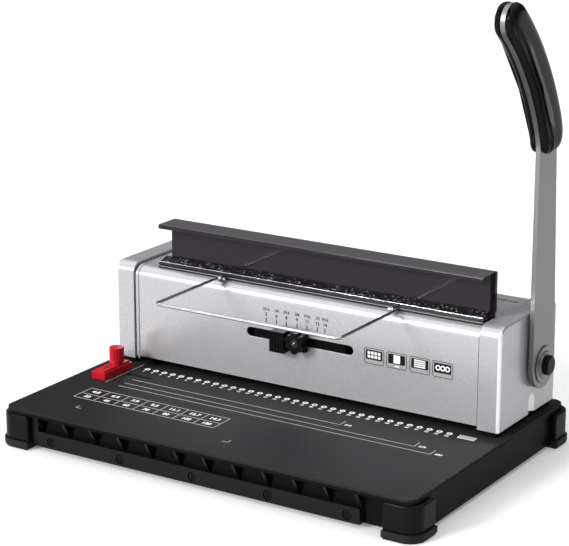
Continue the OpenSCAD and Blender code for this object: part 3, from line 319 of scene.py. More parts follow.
def add_box(bm, low, high, bevel=0.0):
    """Adds a box between two corners."""
    low, high = Vector(low), Vector(high)
    size = high - low
    turn = Matrix.Translation((low + high) / 2) @ Matrix.Diagonal((*size, 1.0))
    made = bmesh.ops.create_cube(bm, size=1.0, matrix=turn)
    if bevel:
        edges = {e for v in made["verts"] for e in v.link_edges}
        bmesh.ops.bevel(bm, geom=list(edges), offset=bevel, offset_type="OFFSET", segments=2,
                        profile=0.5, affect="EDGES", material=-1)
    return made["verts"]


def add_rod(bm, start, end, radius):
    """Adds a round rod between two points."""
    start, end = Vector(start), Vector(end)
    turn = (end - start).to_track_quat("Z", "Y").to_matrix().to_4x4()
    bmesh.ops.create_cone(bm, segments=ROD_SIDES, radius1=radius, radius2=radius,
                          depth=(end - start).length, cap_ends=True,
                          matrix=Matrix.Translation((start + end) / 2) @ turn)


def add_ring(bm, matrix, inner, outer, height, sides):
    """Adds a flat ring that stands out from its plane by height."""
    made = bmesh.ops.create_circle(bm, segments=sides, radius=outer, cap_ends=True)
    face = made["verts"][0].link_faces[0]
    hole = bmesh.ops.inset_individual(bm, faces=[face], thickness=outer - inner, depth=0.0)
    bmesh.ops.delete(bm, geom=[face], context="FACES")
    rim = hole["faces"]
    up = bmesh.ops.extrude_face_region(bm, geom=rim)
    top = [v for v in up["geom"] if isinstance(v, bmesh.types.BMVert)]
    bmesh.ops.translate(bm, verts=top, vec=(0.0, 0.0, height))
    everything = {v for f in rim for v in f.verts} | set(top)
    bmesh.ops.transform(bm, matrix=matrix, verts=list(everything))


def add_words(bm, text, matrix, height):
    """Adds figures that stand out of their plane as ink does."""
    curve = bpy.data.curves.new("figures", "FONT")
    curve.body = text
    curve.size = height * LINE_SHARE
    curve.offset = height * STROKE_SHARE
    curve.extrude = INK_RISE / 2
    curve.resolution_u = 3
    curve.align_x = "CENTER"
    curve.align_y = "CENTER"
    carrier = bpy.data.objects.new("figures", curve)
    bpy.context.scene.collection.objects.link(carrier)
    bpy.context.view_layer.update()
    made = bpy.data.meshes.new_from_object(carrier)
    made.transform(matrix @ Matrix.Translation((0.0, 0.0, INK_RISE / 2)))
    bm.from_mesh(made)
    bpy.data.objects.remove(carrier)
    bpy.data.curves.remove(curve)
    bpy.data.meshes.remove(made)


def add_plate_bar(bm, low, high):
    """Adds a printed bar on the plate between two corners."""
    return add_box(bm, (*low, PLATE_Z - INK_SINK), (*high, PLATE_Z + INK_RISE))


def on_plate(x, y):
    """Lays a figure on the plate."""
    return Matrix.Translation((x, y, PLATE_Z))


def on_cover(x, z):
    """Stands a figure upright on the cover's front, facing the user."""
    return Matrix.Translation((x, COVER_Y, z)) @ Matrix.Rotation(math.radians(90.0), 4, "X")


SLOT_OF = {part["node"]: part["material_slot"] for part in frame["record"]["subparts"]}
PLATE_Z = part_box("top_plate")[1].z
COVER_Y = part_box("housing_cover")[0].y
NOSE_R = 9 * MM


# Settings

class PlateSettings(bpy.types.PropertyGroup):
    """The work plate and what is printed on it."""
    colour: FloatVectorProperty(name="Plate colour", description="Colour of the powder coat",
                                default=(0.019, 0.019, 0.0203), subtype="COLOR")
    ink: FloatVectorProperty(name="Ink colour", description="Colour of the marks and lines",
                             default=(0.92, 0.92, 0.92), subtype="COLOR")
    mark_count: IntProperty(name="Hole marks", description="Number of hole marks", default=34, min=1)
    mark_pitch: FloatProperty(name="Mark pitch", description="Distance between hole marks",
                              default=8.467 * MM, unit="LENGTH", precision=5)
    mark_y: FloatProperty(name="Mark row", description="Place of the row of marks, front to back",
                          default=7.7 * MM, unit="LENGTH", precision=5)
    mark_size: FloatProperty(name="Mark size", description="Radius of a hole mark",
                             default=2.5 * MM, unit="LENGTH", precision=5)
    figure_height: FloatProperty(name="Figure height", description="Height of the hole numbers",
                                 default=2.5 * MM, unit="LENGTH", precision=5)
    line_width: FloatProperty(name="Line width", description="Width of the printed lines",
                              default=0.8 * MM, unit="LENGTH", precision=5)


class HousingSettings(bpy.types.PropertyGroup):
    """The housing's paint and edges."""
    colour: FloatVectorProperty(name="Housing colour", description="Colour of the silver paint",
                                default=(0.42, 0.42, 0.435), subtype="COLOR")
    cap_edge: FloatProperty(name="Cap painted highlight", description="Rounding of the end caps' edges",
                            default=2.2 * MM, unit="LENGTH", precision=5)
    bead: FloatProperty(name="Bead", description="Radius of the bead at the cover's left end",
                        default=1.1 * MM, unit="LENGTH", precision=5)
    nose: FloatProperty(name="Nose", description="Radius of the cover's front top edge",
                        default=NOSE_R, unit="LENGTH", precision=5)
    plastic: FloatVectorProperty(name="Base colour", description="Colour of the base's plastic",
                                 default=(0.0042, 0.0042, 0.0046), subtype="COLOR")
    base_edge: FloatProperty(name="Base edge", description="Rounding of the base's edges",
                             default=0.6 * MM, unit="LENGTH", precision=5)


class GripSettings(bpy.types.PropertyGroup):
    """The handle's grip scales."""
    colour: FloatVectorProperty(name="Grip colour", description="Colour of the grip's plastic",
                                default=(0.006, 0.0055, 0.0065), subtype="COLOR")
    bar_edge: FloatProperty(name="Bar edge", description="Rounding of the handle bar's edges",
                            default=0.5 * MM, unit="LENGTH", precision=5)


class StageSettings(bpy.types.PropertyGroup):
    """The camera, the lamps and the floor."""
    lens: FloatProperty(name="Lens", description="Focal length for a 36 mm wide sensor, in mm",
                        default=126.4)
    eye: FloatVectorProperty(name="Eye", description="Place of the camera",
                             default=(0.7906, -1.2408, 0.5555), subtype="TRANSLATION", unit="LENGTH")
    pitch: FloatProperty(name="Pitch", description="Angle from straight down", default=math.radians(74.13),
                         subtype="ANGLE", unit="ROTATION")
    yaw: FloatProperty(name="Yaw", description="Turn about the upright axis", default=math.radians(32.56),
                       subtype="ANGLE", unit="ROTATION")
    floor: FloatVectorProperty(name="Floor colour", description="Colour of the pale floor",
                               default=(0.7, 0.7, 0.7), subtype="COLOR")
    glow: FloatProperty(name="Glow", default=0.2,
                        description="Light that the floor itself gives, which lifts the shadows")
    ceiling: FloatProperty(name="Ceiling", description="Strength of the wide light overhead", default=1.45)
    ceiling_edge: FloatProperty(name="Ceiling edge", description="Height over the horizon, as a sine, "
                                "where the light overhead begins", default=0.68)
    wall: FloatProperty(name="Wall", default=0.5,
                        description="Strength of the light from the front and left")
    fill: FloatProperty(name="Fill", description="Strength of the light from all round", default=0.07)
    key: FloatProperty(name="Key", description="Strength of the lamp at the front and left", default=3.4)


# Operators

class BINDER_OT_finishes(bpy.types.Operator):
    """Make the finishes and lay them on the frame's own pieces"""
    bl_idname = "binder.finishes"
    bl_label = "Finishes"

    def execute(self, context):
        scene = context.scene
        plastic, silver = tuple(scene.binder_housing.plastic), tuple(scene.binder_housing.colour)
        moulded("Black moulding", plastic, 0.36, Specular_IOR_Level=0.03)
        moulded("Panel moulding", plastic, 0.34, Specular_IOR_Level=0.12)
        moulded("Boot moulding", plastic, 0.32, Specular_IOR_Level=0.07)
        moulded("Gloss black", tuple(scene.binder_grip.colour), 0.15, 1.5 * MM, 0.006 * MM,
                Specular_IOR_Level=0.05)
        moulded("Tray moulding", (0.014, 0.014, 0.015), 0.5, Specular_IOR_Level=0.25)
        moulded("Black rubber", (0.006, 0.006, 0.006), 0.6, 0.8 * MM, 0.05 * MM, Specular_IOR_Level=0.2)
        moulded("Red plastic", (0.42, 0.002, 0.012), 0.34, 0.8 * MM, 0.01 * MM, Specular_IOR_Level=0.35)
        painted("Plate coat", tuple(scene.binder_plate.colour), 0.46, 0.14, Specular_IOR_Level=0.02)
        painted("Silver paint", silver, 0.27, 0.025, 0.004 * MM, Metallic=0.45)
        painted("Cap paint", shade(silver, 0.97), 0.27, 0.025, 0.004 * MM, Metallic=0.45)
        # Painted highlight: a much lighter silver for the caps' rounded front edges and the walls of their scoops
        painted("Cap painted highlight", shade(silver, 1.9), 0.3, 0.025, 0.004 * MM, Metallic=0.3)
        jaw = painted("Jaw paint", (0.014, 0.009, 0.0135), 0.1, 0.1, 0.004 * MM, Specular_IOR_Level=0.2)
        # Painted top light: faces that point up are painted lighter, in place of the light and reflection they
        # catch
        facing = jaw.node("ShaderNodeNewGeometry", output="Normal")
        up = jaw.node("ShaderNodeSeparateXYZ", None, {0: facing}, "Z")
        jaw.tint(jaw.ramp(up, (0.5, 0.0), (0.9, 1.0)), (0.062, 0.062, 0.066), (0.014, 0.009, 0.0135))
        painted("Black oxide", (0.01, 0.01, 0.01), 0.3, 0.15, Specular_IOR_Level=0.4)
        brushed("Zinc plate", (0.5, 0.51, 0.53), 0.36)
        brushed("Ground steel", (0.5, 0.51, 0.53), 0.3, (1.0, 1.0, 0.05))
        brushed("Bar steel", (0.21, 0.21, 0.213), 0.42, (1.0, 1.0, 0.04))
        plated("Bright plate", (0.56, 0.56, 0.58), 0.12)
        plated("Bronze", (0.58, 0.36, 0.16), 0.35)
        granular("Gritty pad", (0.008, 0.008, 0.009), 0.5, 2.1 * MM, 0.4 * MM)
        printed("White ink", tuple(scene.binder_plate.ink))
        printed("Pale ink", shade(tuple(scene.binder_plate.ink), 0.42))
        printed("Dark red ink", (0.06, 0.001, 0.002), 0.45)
        printed("Black ink", (0.008, 0.008, 0.008), 0.4)
        slots = {"base_plastic": "Black moulding", "plate_paint": "Plate coat", "sheet_steel": "Zinc plate",
                 "cover_paint": "Silver paint", "cap_paint": "Cap paint", "black_steel": "Black oxide",
                 "jaw_paint": "Jaw paint", "tool_steel": "Ground steel", "bright_steel": "Bright plate",
                 "bronze": "Bronze", "rubber": "Black rubber", "grip_plastic": "Gloss black",
                 "tray_plastic": "Tray moulding", "red_plastic": "Red plastic", "bar_steel": "Bar steel"}
        for name, slot in SLOT_OF.items():
            node = frame["nodes"][name]
            node.data.materials.clear()
            node.data.materials.append(Finish.made[slots[slot]].material)
        frame["nodes"]["depth_gauge"].data.materials[0] = Finish.made["Black moulding"].material
        return {"FINISHED"}


class BINDER_OT_base(bpy.types.Operator):
    """Round the edges of the base, its boots, its feet and its front panel"""
    bl_idname = "binder.base"
    bl_label = "Base"

    def execute(self, context):
        edge = context.scene.binder_housing.base_edge
        soften("base_frame", "Black moulding", edge, 2)
        soften("front_panel", "Panel moulding", edge, 2)
        soften("corner_boots", "Boot moulding", 1.6 * MM, 4)
        soften("foot_pads", "Black rubber", edge, 2)
        soften("top_plate", "Plate coat", edge, 3)
        soften("panel_screws", "Gloss black", 0.4 * MM, 3)
        soften("chip_tray", "Tray moulding", 0.4 * MM, 2)
        return {"FINISHED"}


# Where an end cap's edges are rounded most, how far back from its front the rounded edge gets a painted highlight,
# and the scoop at the foot of its outer face, whose walls also get a painted highlight
CAP_RIM = 12.0 * MM
CAP_FRONT = 3.0 * MM
SCOOP_DEPTH = 3.7 * MM
SCOOP_TOP = 17.0 * MM
SCOOP_Y = 7.8 * MM
SCOOP_HALF = 5.6 * MM
# How far a cap's seam face lies outside the cover
SEAM_GAP = 0.8 * MM


class BINDER_OT_housing(bpy.types.Operator):
    """Round the edges of the housing, its caps and its plinth"""
    bl_idname = "binder.housing"
    bl_label = "Housing"

    def execute(self, context):
        edge = context.scene.binder_housing.cap_edge
        for node in ("end_cap_left", "end_cap_right"):
            low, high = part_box(node)
            face_x = high.x if high.x > 0.0 else low.x
            seam_x = math.copysign(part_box("housing_cover")[1].x + SEAM_GAP, face_x)

            def on_face(e, x):
                return all(abs(v.co.x - x) < SAME_PLANE for v in e.verts)

            def outer(e):
                middle = (e.verts[0].co + e.verts[1].co) / 2
                return on_face(e, face_x) and (middle.y < low.y + CAP_RIM or middle.y > high.y - CAP_RIM
                                               or middle.z > high.z - CAP_RIM)

            # Faces that get the painted highlight: the scoop's walls and the new rounded faces near the cap's
            # front
            def bright(f):
                middle = f.calc_center_median()
                depth = abs(middle.x - face_x)
                scooped = (0.05 * MM < depth < SCOOP_DEPTH and middle.z < low.z + SCOOP_TOP
                           and abs(middle.y - (low.y + high.y) / 2 - SCOOP_Y) < SCOOP_HALF
                           and abs(f.normal.z) < 0.9)
                return scooped or (f not in before and f.calc_area() > 0.0
                                   and SAME_PLANE < depth < edge and middle.y < low.y + CAP_FRONT)

            bm = cad_copy(node)
            before = set(bm.faces)
            round_edges(bm, edge, 5, 40.0, outer)
            for f in bm.faces:
                f.material_index = int(bright(f))
            round_edges(bm, 0.5 * MM, 2, 60.0, lambda e: on_face(e, seam_x))
            cap = placed(node + "_look", bm, "Cap paint", body_of(node), (node,), weighted=True)
            cap.data.materials.append(Finish.made["Cap painted highlight"].material)
        soften("housing_cover", "Silver paint", 0.35 * MM, 2)
        soften("housing_plinth", "Black moulding", 0.5 * MM, 2)
        add_bead(context.scene.binder_housing)
        return {"FINISHED"}


# The bead's distance from the cover's end and foot, its depth in the cover, and its run over the top
BEAD_IN = 2.6 * MM
BEAD_FOOT = 4.5 * MM
BEAD_SINK = 0.3 * MM
BEAD_TOP = 12.0 * MM
BEAD_SIDES = 12


def add_bead(housing):
    """A half-round bead up the cover's left end and over its nose, as one bent rod."""
    low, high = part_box("housing_cover")
    x, foot, nose = low.x + BEAD_IN, low.z + BEAD_FOOT, housing.nose
    bm = bmesh.new()
    made = bmesh.ops.create_circle(bm, segments=BEAD_SIDES, radius=housing.bead, cap_ends=True,
                                   matrix=Matrix.Translation((x, low.y + BEAD_SINK, foot)))
    ring = made["verts"][0].link_faces[0]

    def run(step):
        nonlocal ring
        out = bmesh.ops.extrude_discrete_faces(bm, faces=[ring])
        ring = out["faces"][0]
        bmesh.ops.translate(bm, verts=ring.verts, vec=step)

    run((0.0, 0.0, high.z - nose - foot))
    turned = bmesh.ops.spin(bm, geom=[ring], cent=(x, low.y + nose, high.z - nose),
                            axis=(-1.0, 0.0, 0.0), angle=math.radians(90.0), steps=12, use_merge=False)
    bmesh.ops.delete(bm, geom=[ring], context="FACES_ONLY")
    ring = [f for f in turned["geom_last"] if isinstance(f, bmesh.types.BMFace)][0]
    run((0.0, BEAD_TOP, 0.0))
    bmesh.ops.holes_fill(bm, edges=[e for e in bm.edges if e.is_boundary], sides=BEAD_SIDES)
    finished("cover_bead", bm, "Silver paint", "machine")


class BINDER_OT_springs(bpy.types.Operator):
    """Show the return springs as a smooth-shaded copy in bright plate, with a mesh of its own"""
    bl_idname = "binder.springs"
    bl_label = "Return springs"

    def execute(self, context):
        low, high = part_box("return_springs")
        stroke = next(j["range_m"][1] for j in frame["joints"] if j["name"] == "punch_slide")
        coils = placed("return_springs_look", cad_copy("return_springs"), "Bright plate",
                       body_of("return_springs"), ("return_springs",), smooth=60.0)
        1.0 - stroke / (high.z - low.z)
        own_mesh(coils)
        return {"FINISHED"}


# The closer's end plate: its thickness, its height over the platen and its gap below the jaw's top
END_PLATE_T = 0.5 * MM
END_PLATE_UP = 1.4 * MM
END_PLATE_DOWN = 0.4 * MM
# How far the pad rises to its rear
PAD_RISE = 2.6 * MM
# How far the painted highlight strips on the platen's front stop short of its ends
HIGHLIGHT_STRIP_IN = 0.6 * MM


class BINDER_OT_closer(bpy.types.Operator):
    """Round the edges of the closer's jaw and platen"""
    bl_idname = "binder.closer"
    bl_label = "Closer"

    def execute(self, context):
        soften("closer_bar", "Jaw paint", 0.5 * MM, 3)
        soften("closer_platen", "Jaw paint", 0.35 * MM, 2)
        frame["nodes"]["rest_eyes"].data.materials[0] = Finish.made["Bar steel"].material
        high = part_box("closer_bar")[1]
        pad_low, pad_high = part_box("closer_pad")
        bed_low, bed_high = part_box("closer_platen")
        plate = bmesh.new()
        add_box(plate, (high.x, pad_high.y + 0.2 * MM, bed_high.z + END_PLATE_UP),
                (high.x + END_PLATE_T, high.y, high.z - END_PLATE_DOWN), 0.2 * MM)
        finished("closer_end", plate, "Gloss black", body_of("closer_bar"))
        pad = bmesh.new()
        corners = add_box(pad, pad_low, pad_high)
        rear = [v for v in corners
                if v.co.y > pad_high.y - SAME_PLANE and v.co.z > pad_high.z - SAME_PLANE]
        bmesh.ops.translate(pad, verts=rear, vec=(0.0, 0.0, PAD_RISE))
        round_edges(pad, 0.3 * MM, 2)
        finished("closer_pad_look", pad, "Gritty pad", body_of("closer_pad"), ("closer_pad",))
        # Painted highlights: two thin rods along the platen's front, bright plate above and bar steel below, stand
        # in for the light lines on its rounded edges
        for name, finish, y, z, radius in (
                ("platen_highlight_strip", "Bright plate", pad_low.y - 0.35 * MM, pad_high.z - 0.3 * MM,
                 0.36 * MM),
                ("platen_highlight_strip_low", "Bar steel", bed_low.y + 0.12 * MM, bed_low.z + 1.6 * MM,
                 0.3 * MM)):
            highlight_strip = bmesh.new()
            add_rod(highlight_strip, (bed_low.x + HIGHLIGHT_STRIP_IN, y, z), (bed_high.x - HIGHLIGHT_STRIP_IN, y, z), radius)
            finished(name, highlight_strip, finish, body_of("closer_platen"))
        return {"FINISHED"}


class BINDER_OT_handle(bpy.types.Operator):
    """Make the handle's bar, washers, bolt and grip"""
    bl_idname = "binder.handle"
    bl_label = "Handle"

    def execute(self, context):
        soften("handle_bar", "Bar steel", context.scene.binder_grip.bar_edge, 3)
        soften("handle_washers", "Bar steel", 0.3 * MM, 2)
        soften("handle_bolt", "Gloss black", 0.7 * MM, 3)
        for node in ("grip_outer", "grip_inner"):
            bm = cad_copy(node)
            bmesh.ops.join_triangles(bm, faces=bm.faces, angle_face_threshold=math.radians(30.0),
                                     angle_shape_threshold=math.radians(60.0))
            grip = placed(node + "_look", bm, "Gloss black", body_of(node), (node,), smooth=60.0)
            fine = grip.modifiers.new("Smooth skin", "SUBSURF")
            fine.levels = fine.render_levels = 1
        return {"FINISHED"}


# The dome on the clamp screw: its radius and its depth in the screw's end
DOME_R = 1.3 * MM
DOME_SINK = 0.5 * MM


class BINDER_OT_adjuster(bpy.types.Operator):
    """Round the edges of the slider, its knob and its screw"""
    bl_idname = "binder.adjuster"
    bl_label = "Adjuster"

    def execute(self, context):
        soften("adjuster_slider", "Gloss black", 1.0 * MM, 3)
        soften("clamp_knob", "Gloss black", 0.7 * MM, 3)
        soften("clamp_screw", "Black oxide", 0.25 * MM, 2)
        low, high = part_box("clamp_screw")
        centre = Vector(((low.x + high.x) / 2, low.y, (low.z + high.z) / 2))
        nub = bmesh.new()
        bmesh.ops.create_uvsphere(nub, u_segments=20, v_segments=10, radius=DOME_R,
                                  matrix=Matrix.Translation(centre + Vector((0.0, DOME_SINK, 0.0))))
        finished("clamp_screw_dome", nub, "Bright plate", body_of("clamp_screw"))
        return {"FINISHED"}


# The dash on the paper guide: half its width, its run from the front, and the foot of its ink
DASH_HALF = 0.6 * MM
DASH_RUN = (8.0 * MM, 14.0 * MM)
DASH_FOOT = 0.1 * MM
GUIDE_STEP = 0.8 * MM


class BINDER_OT_guide(bpy.types.Operator):
    """Round the edges of the red paper guide and its knob"""
    bl_idname = "binder.guide"
    bl_label = "Paper guide"

    def execute(self, context):
        soften("guide_block", "Red plastic", 1.1 * MM, 4)
        low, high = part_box("guide_block")
        x, top = (low.x + high.x) / 2, high.z - GUIDE_STEP
        dash = bmesh.new()
        add_box(dash, (x - DASH_HALF, low.y + DASH_RUN[0], top - DASH_FOOT),
                (x + DASH_HALF, low.y + DASH_RUN[1], top + INK_RISE))
        finished("guide_mark", dash, "Dark red ink", body_of("guide_block"), smooth=20.0)
        soften("guide_knob", "Red plastic", 0.4 * MM, 3)
        return {"FINISHED"}


# The paper lines: their left end, where the ink begins, and each paper's length and line
PAPER_LEFT = -148.9 * MM
PAPER_INSET = 14 * MM
PAPER_TICK = 9 * MM
PAPERS = ((210 * MM, -19.8 * MM), (279.4 * MM, -29.9 * MM), (297 * MM, -37.7 * MM))
# The comb of ticks at the right end of the hole marks
COMB_LEFT = 148.4 * MM
COMB_PITCH = 1.85 * MM
COMB_TEETH = 8
# The table of wire sizes over sheets of paper: its ends, its three rules and its figures
TABLE_X = (-149.5 * MM, -16.5 * MM)
TABLE_Y = (-77 * MM, -66.5 * MM, -54 * MM)
TABLE = (("4.8", "20"), ("6.4", "45"), ("7.9", "60"), ("9.5", "70"), ("11.1", "80"),
         ("12.7", "100"), ("14.3", "120"))
# The two corner marks: place, and the way the foot points
CORNERS = ((-132 * MM, -97 * MM, 1), (10 * MM, -97 * MM, -1))
CORNER_ARM = 5 * MM


class BINDER_OT_plate_print(bpy.types.Operator):
    """Print the hole marks, their numbers, the paper lines and the table on the plate"""
    bl_idname = "binder.plate_print"
    bl_label = "Plate print"

    def execute(self, context):
        plate = context.scene.binder_plate
        ink, pale = bmesh.new(), bmesh.new()
        for i in range(plate.mark_count):
            x = (i - (plate.mark_count - 1) / 2) * plate.mark_pitch
            add_ring(ink, on_plate(x, plate.mark_y) @ Matrix.Rotation(math.radians(22.5), 4, "Z"),
                     plate.mark_size * 0.42, plate.mark_size, 0.03 * MM, 8)
            add_words(ink, str(i + 1), on_plate(x, plate.mark_y - 5.4 * MM), plate.figure_height)
        w, left = plate.line_width, PAPER_LEFT
        for length, y in PAPERS:
            right = left + length
            add_plate_bar(pale, (left + PAPER_INSET, y - w / 2), (right - w / 2, y + w / 2))
            add_plate_bar(pale, (right - w, y - w / 2), (right, y + PAPER_TICK))
            add_words(ink, str(round(length / MM)), on_plate(right + 5.5 * MM, y + 2.0 * MM), 2.8 * MM)
        add_plate_bar(pale, (left - w, -36 * MM), (left, 16 * MM))
        for k in range(COMB_TEETH):
            x = COMB_LEFT + k * COMB_PITCH
            add_plate_bar(ink, (x - 0.4 * MM, 4 * MM), (x + 0.4 * MM, 10 * MM))
        add_plate_bar(ink, (COMB_LEFT - 0.5 * MM, 3.4 * MM), (COMB_LEFT + 13.5 * MM, 4.1 * MM))
        (x0, x1), (y0, y1, y2) = TABLE_X, TABLE_Y
        for y in TABLE_Y:
            add_plate_bar(pale, (x0, y - w / 2), (x1, y + w / 2))
        step = (x1 - x0) / len(TABLE)
        for k in range(len(TABLE) + 1):
            x = x0 + k * step
            add_plate_bar(pale, (x - w / 2, y0), (x + w / 2, y2))
            if k < len(TABLE):
                wire, sheets = TABLE[k]
                add_words(ink, wire, on_plate(x + step / 2, (y1 + y2) / 2), 4.2 * MM)
                add_words(ink, sheets, on_plate(x + step / 2, (y0 + y1) / 2), 4.0 * MM)
        for x, y, way in CORNERS:
            foot = x + way * CORNER_ARM
            add_plate_bar(pale, (min(x, foot), y), (max(x, foot), y + w))
            add_plate_bar(pale, (x - w / 2, y), (x + w / 2, y + CORNER_ARM))
        finished("plate_marks", ink, "White ink", "machine", smooth=20.0)
        finished("plate_lines", pale, "Pale ink", "machine", smooth=20.0)
        return {"FINISHED"}


# The adjuster's scale: place in mm, size in inches and size in mm
SCALE = ((-29.6, "3/16", "5"), (-20.0, "1/4", "6"), (-10.8, "5/16", "8"), (-1.0, "3/8", "9"),
         (8.2, "7/16", "11"), (17.6, "1/2", "12"), (24.5, "9/16", "14"))
TICK_HALF = 0.42 * MM
TICK_Z = (56.4 * MM, 60.2 * MM)
# The picture badges: their left edges in mm, their height on the cover and their size
BADGES = (59.7, 79.4, 99.4, 118.9)
BADGE_Z = 38.9 * MM
BADGE_SIZE = (17.6 * MM, 12.8 * MM)


class BINDER_OT_cover_print(bpy.types.Operator):
    """Print the adjuster's scale and the picture badges on the cover"""
    bl_idname = "binder.cover_print"
    bl_label = "Cover print"

    def execute(self, context):
        dark, white = bmesh.new(), bmesh.new()
        for place, inches, millimetres in SCALE:
            x = place * MM
            add_box(dark, (x - TICK_HALF, COVER_Y - INK_RISE, PLATE_Z + TICK_Z[0]),
                    (x + TICK_HALF, COVER_Y + 0.1 * MM, PLATE_Z + TICK_Z[1]))
            add_words(dark, millimetres, on_cover(x, PLATE_Z + 62.9 * MM), 2.7 * MM)
            add_words(dark, inches, on_cover(x, PLATE_Z + 67.2 * MM), 2.3 * MM)
        for kind, x in enumerate(BADGES):
            badge(dark, white, x * MM, PLATE_Z + BADGE_Z, *BADGE_SIZE, kind)
        finished("cover_print", dark, "Black ink", "machine", smooth=20.0)
        finished("cover_print_white", white, "White ink", "machine", smooth=20.0)
        return {"FINISHED"}


def add_plaque(bm, x0, z0, x1, z1, level, corner=0.0, rim=0.0):
    """Adds a flat shape on the cover's face with round corners, or only its rim."""
    made = bmesh.ops.create_circle(bm, segments=4, radius=math.sqrt(0.5), cap_ends=True,
                                   matrix=Matrix.Rotation(math.radians(45.0), 4, "Z"))["verts"]
    face = made[0].link_faces[0]
    bmesh.ops.transform(bm, verts=made, matrix=on_cover((x0 + x1) / 2, (z0 + z1) / 2)
                        @ Matrix.Diagonal((x1 - x0, z1 - z0, 1.0, 1.0)))
    if corner:
        bmesh.ops.bevel(bm, geom=made, offset=corner, offset_type="OFFSET", segments=4, profile=0.5,
                        affect="VERTICES", material=-1)
        fresh = (f for f in bm.faces if f.is_valid and len(f.verts) > 4 and not f.tag)
        face = max(fresh, key=lambda f: f.index)
    faces = [face]
    if rim:
        faces = bmesh.ops.inset_individual(bm, faces=[face], thickness=rim)["faces"]
        bmesh.ops.delete(bm, geom=[face], context="FACES_ONLY")
    up = bmesh.ops.extrude_face_region(bm, geom=faces)["geom"]
    bmesh.ops.translate(bm, verts=[v for v in up if isinstance(v, bmesh.types.BMVert)],
                        vec=(0.0, -INK_RISE * level, 0.0))
    for f in bm.faces:
        f.tag = True


def badge(dark, white, x, z, width, height, kind):
    """A picture badge: a thin frame, a black field and a plain picture of holes, page, sheets or wire."""
    def tile(bm, x0, z0, x1, z1, level=1, corner=0.0, rim=0.0):
        add_plaque(bm, x + x0, z + z0, x + x1, z + z1, level, corner, rim)

    tile(dark, 0, 0, width, height, 1, 1.8 * MM, 0.5 * MM)
    tile(dark, 1.5 * MM, 3.6 * MM, width - 1.5 * MM, height - 1.5 * MM, 1, 0.7 * MM)
    if kind == 0:
        for row in range(2):
            for k in range(4):
                hole_x, hole_z = (3.2 + k * 3.0) * MM, (4.9 + row * 3.0) * MM
                tile(white, hole_x, hole_z, hole_x + 2.2 * MM, hole_z + 2.2 * MM, 2)
    elif kind == 1:
        tile(white, 6.2 * MM, 4.4 * MM, 11.8 * MM, 10.7 * MM, 2)
        tile(white, 7.2 * MM, 1.5 * MM, 10.8 * MM, 2.4 * MM, 2)
    elif kind == 2:
        for k in range(4):
            tile(white, 4.0 * MM, (4.6 + k * 1.65) * MM, 13.6 * MM, (5.6 + k * 1.65) * MM, 2)
    else:
        for k in range(3):
            add_ring(white, on_cover(x + (4.9 + k * 4.0) * MM, z + 7.5 * MM), 1.2 * MM, 2.2 * MM,
                     2 * INK_RISE, 24)


FLOOR_HALF = 15.0
CEILING_BLUR = 0.1
KEY_WAY = (0.4, 0.88, -0.43)
KEY_SPREAD = 16.0
SENSOR_MM = 36.0


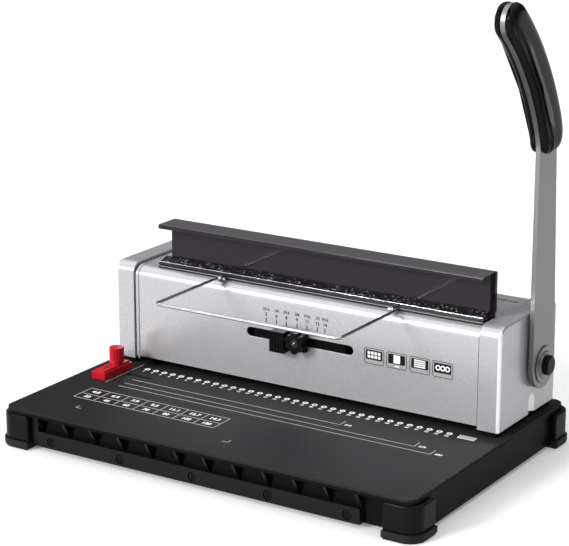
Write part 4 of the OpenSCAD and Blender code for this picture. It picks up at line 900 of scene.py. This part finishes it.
class BINDER_OT_stage(bpy.types.Operator):
    """Set the floor, the lamps and the camera"""
    bl_idname = "binder.stage"
    bl_label = "Stage"

    def execute(self, context):
        scene, stage = context.scene, context.scene.binder_stage
        bm = bmesh.new()
        bmesh.ops.create_grid(bm, x_segments=1, y_segments=1, size=FLOOR_HALF)
        mesh = bpy.data.meshes.new("floor")
        bm.to_mesh(mesh)
        bm.free()
        floor = bpy.data.objects.new("floor", mesh)
        scene.collection.objects.link(floor)
        pale = tuple(stage.floor)
        paper = Finish("Pale floor", pale, 0.7)
        paper.put("Base Color", paper.mix(paper.noise(0.4, 2.0), shade(pale, 0.99), pale))
        paper.put("Emission Color", (1.0, 1.0, 1.0, 1.0))
        paper.put("Emission Strength", stage.glow)
        mesh.materials.append(paper.material)

        world = bpy.data.worlds.new("Studio")
        world.use_nodes = True
        sky = Nodes(world.node_tree)
        way = sky.node("ShaderNodeTexCoord", output="Generated")

        def towards(x, y, z):
            aim = Vector((x, y, z)).normalized()
            return sky.node("ShaderNodeVectorMath", {"operation": "DOT_PRODUCT"}, {0: way, 1: aim}, "Value")

        ceiling = sky.ramp(towards(0.0, 0.0, 1.0), (stage.ceiling_edge - CEILING_BLUR, 0.0),
                           (stage.ceiling_edge + CEILING_BLUR, 1.0))
        wall = (towards(-1.0, -1.0, 0.4) * 0.5 + 0.5) ** 2.0
        back = world.node_tree.nodes["Background"]
        sky.feed(back.inputs["Color"], (1.0, 1.0, 1.0, 1.0))
        sky.feed(back.inputs["Strength"], ceiling * stage.ceiling + (wall * stage.wall + stage.fill))
        scene.world = world
        scene.view_settings.view_transform = "Standard"

        key = bpy.data.lights.new("Key", "SUN")
        key.energy = stage.key
        key.angle = math.radians(KEY_SPREAD)
        made = bpy.data.objects.new("Key", key)
        made.rotation_euler = Vector(KEY_WAY).to_track_quat("-Z", "Y").to_euler()
        scene.collection.objects.link(made)

        lens = bpy.data.cameras.new("Camera")
        lens.lens = stage.lens
        lens.sensor_width = SENSOR_MM
        lens.sensor_fit = "HORIZONTAL"
        lens.clip_end = 4 * FLOOR_HALF
        camera = bpy.data.objects.new("Camera", lens)
        camera.location = stage.eye
        camera.rotation_euler = (stage.pitch, 0.0, stage.yaw)
        scene.collection.objects.link(camera)
        scene.camera = camera
        return {"FINISHED"}


class BINDER_PT_panel(bpy.types.Panel):
    """The machine's pieces and their settings"""
    bl_idname = "BINDER_PT_panel"
    bl_label = "Wire binding machine"
    bl_space_type = "VIEW_3D"
    bl_region_type = "UI"
    bl_category = "Binder"

    def draw(self, context):
        layout, scene = self.layout, context.scene
        for operator in OPERATORS:
            layout.operator(operator.bl_idname)
        for name, kind in SETTINGS.items():
            box = layout.box()
            for setting in kind.__annotations__:
                box.prop(getattr(scene, name), setting)


SETTINGS = {"binder_plate": PlateSettings, "binder_housing": HousingSettings,
            "binder_grip": GripSettings, "binder_stage": StageSettings}
OPERATORS = (BINDER_OT_finishes, BINDER_OT_base, BINDER_OT_housing, BINDER_OT_springs, BINDER_OT_closer,
             BINDER_OT_handle, BINDER_OT_adjuster, BINDER_OT_guide, BINDER_OT_plate_print,
             BINDER_OT_cover_print, BINDER_OT_stage)


def register():
    for group in SETTINGS.values():
        bpy.utils.register_class(group)
    for name, group in SETTINGS.items():
        setattr(bpy.types.Scene, name, PointerProperty(type=group))
    for item in (*OPERATORS, BINDER_PT_panel):
        bpy.utils.register_class(item)


def unregister():
    for item in (BINDER_PT_panel, *reversed(OPERATORS)):
        bpy.utils.unregister_class(item)
    for name in SETTINGS:
        delattr(bpy.types.Scene, name)
    for group in reversed(SETTINGS.values()):
        bpy.utils.unregister_class(group)


def main():
    register()
    for operator in OPERATORS:
        family, name = operator.bl_idname.split(".")
        getattr(getattr(bpy.ops, family), name)()


if __name__ == "__main__":
    main()
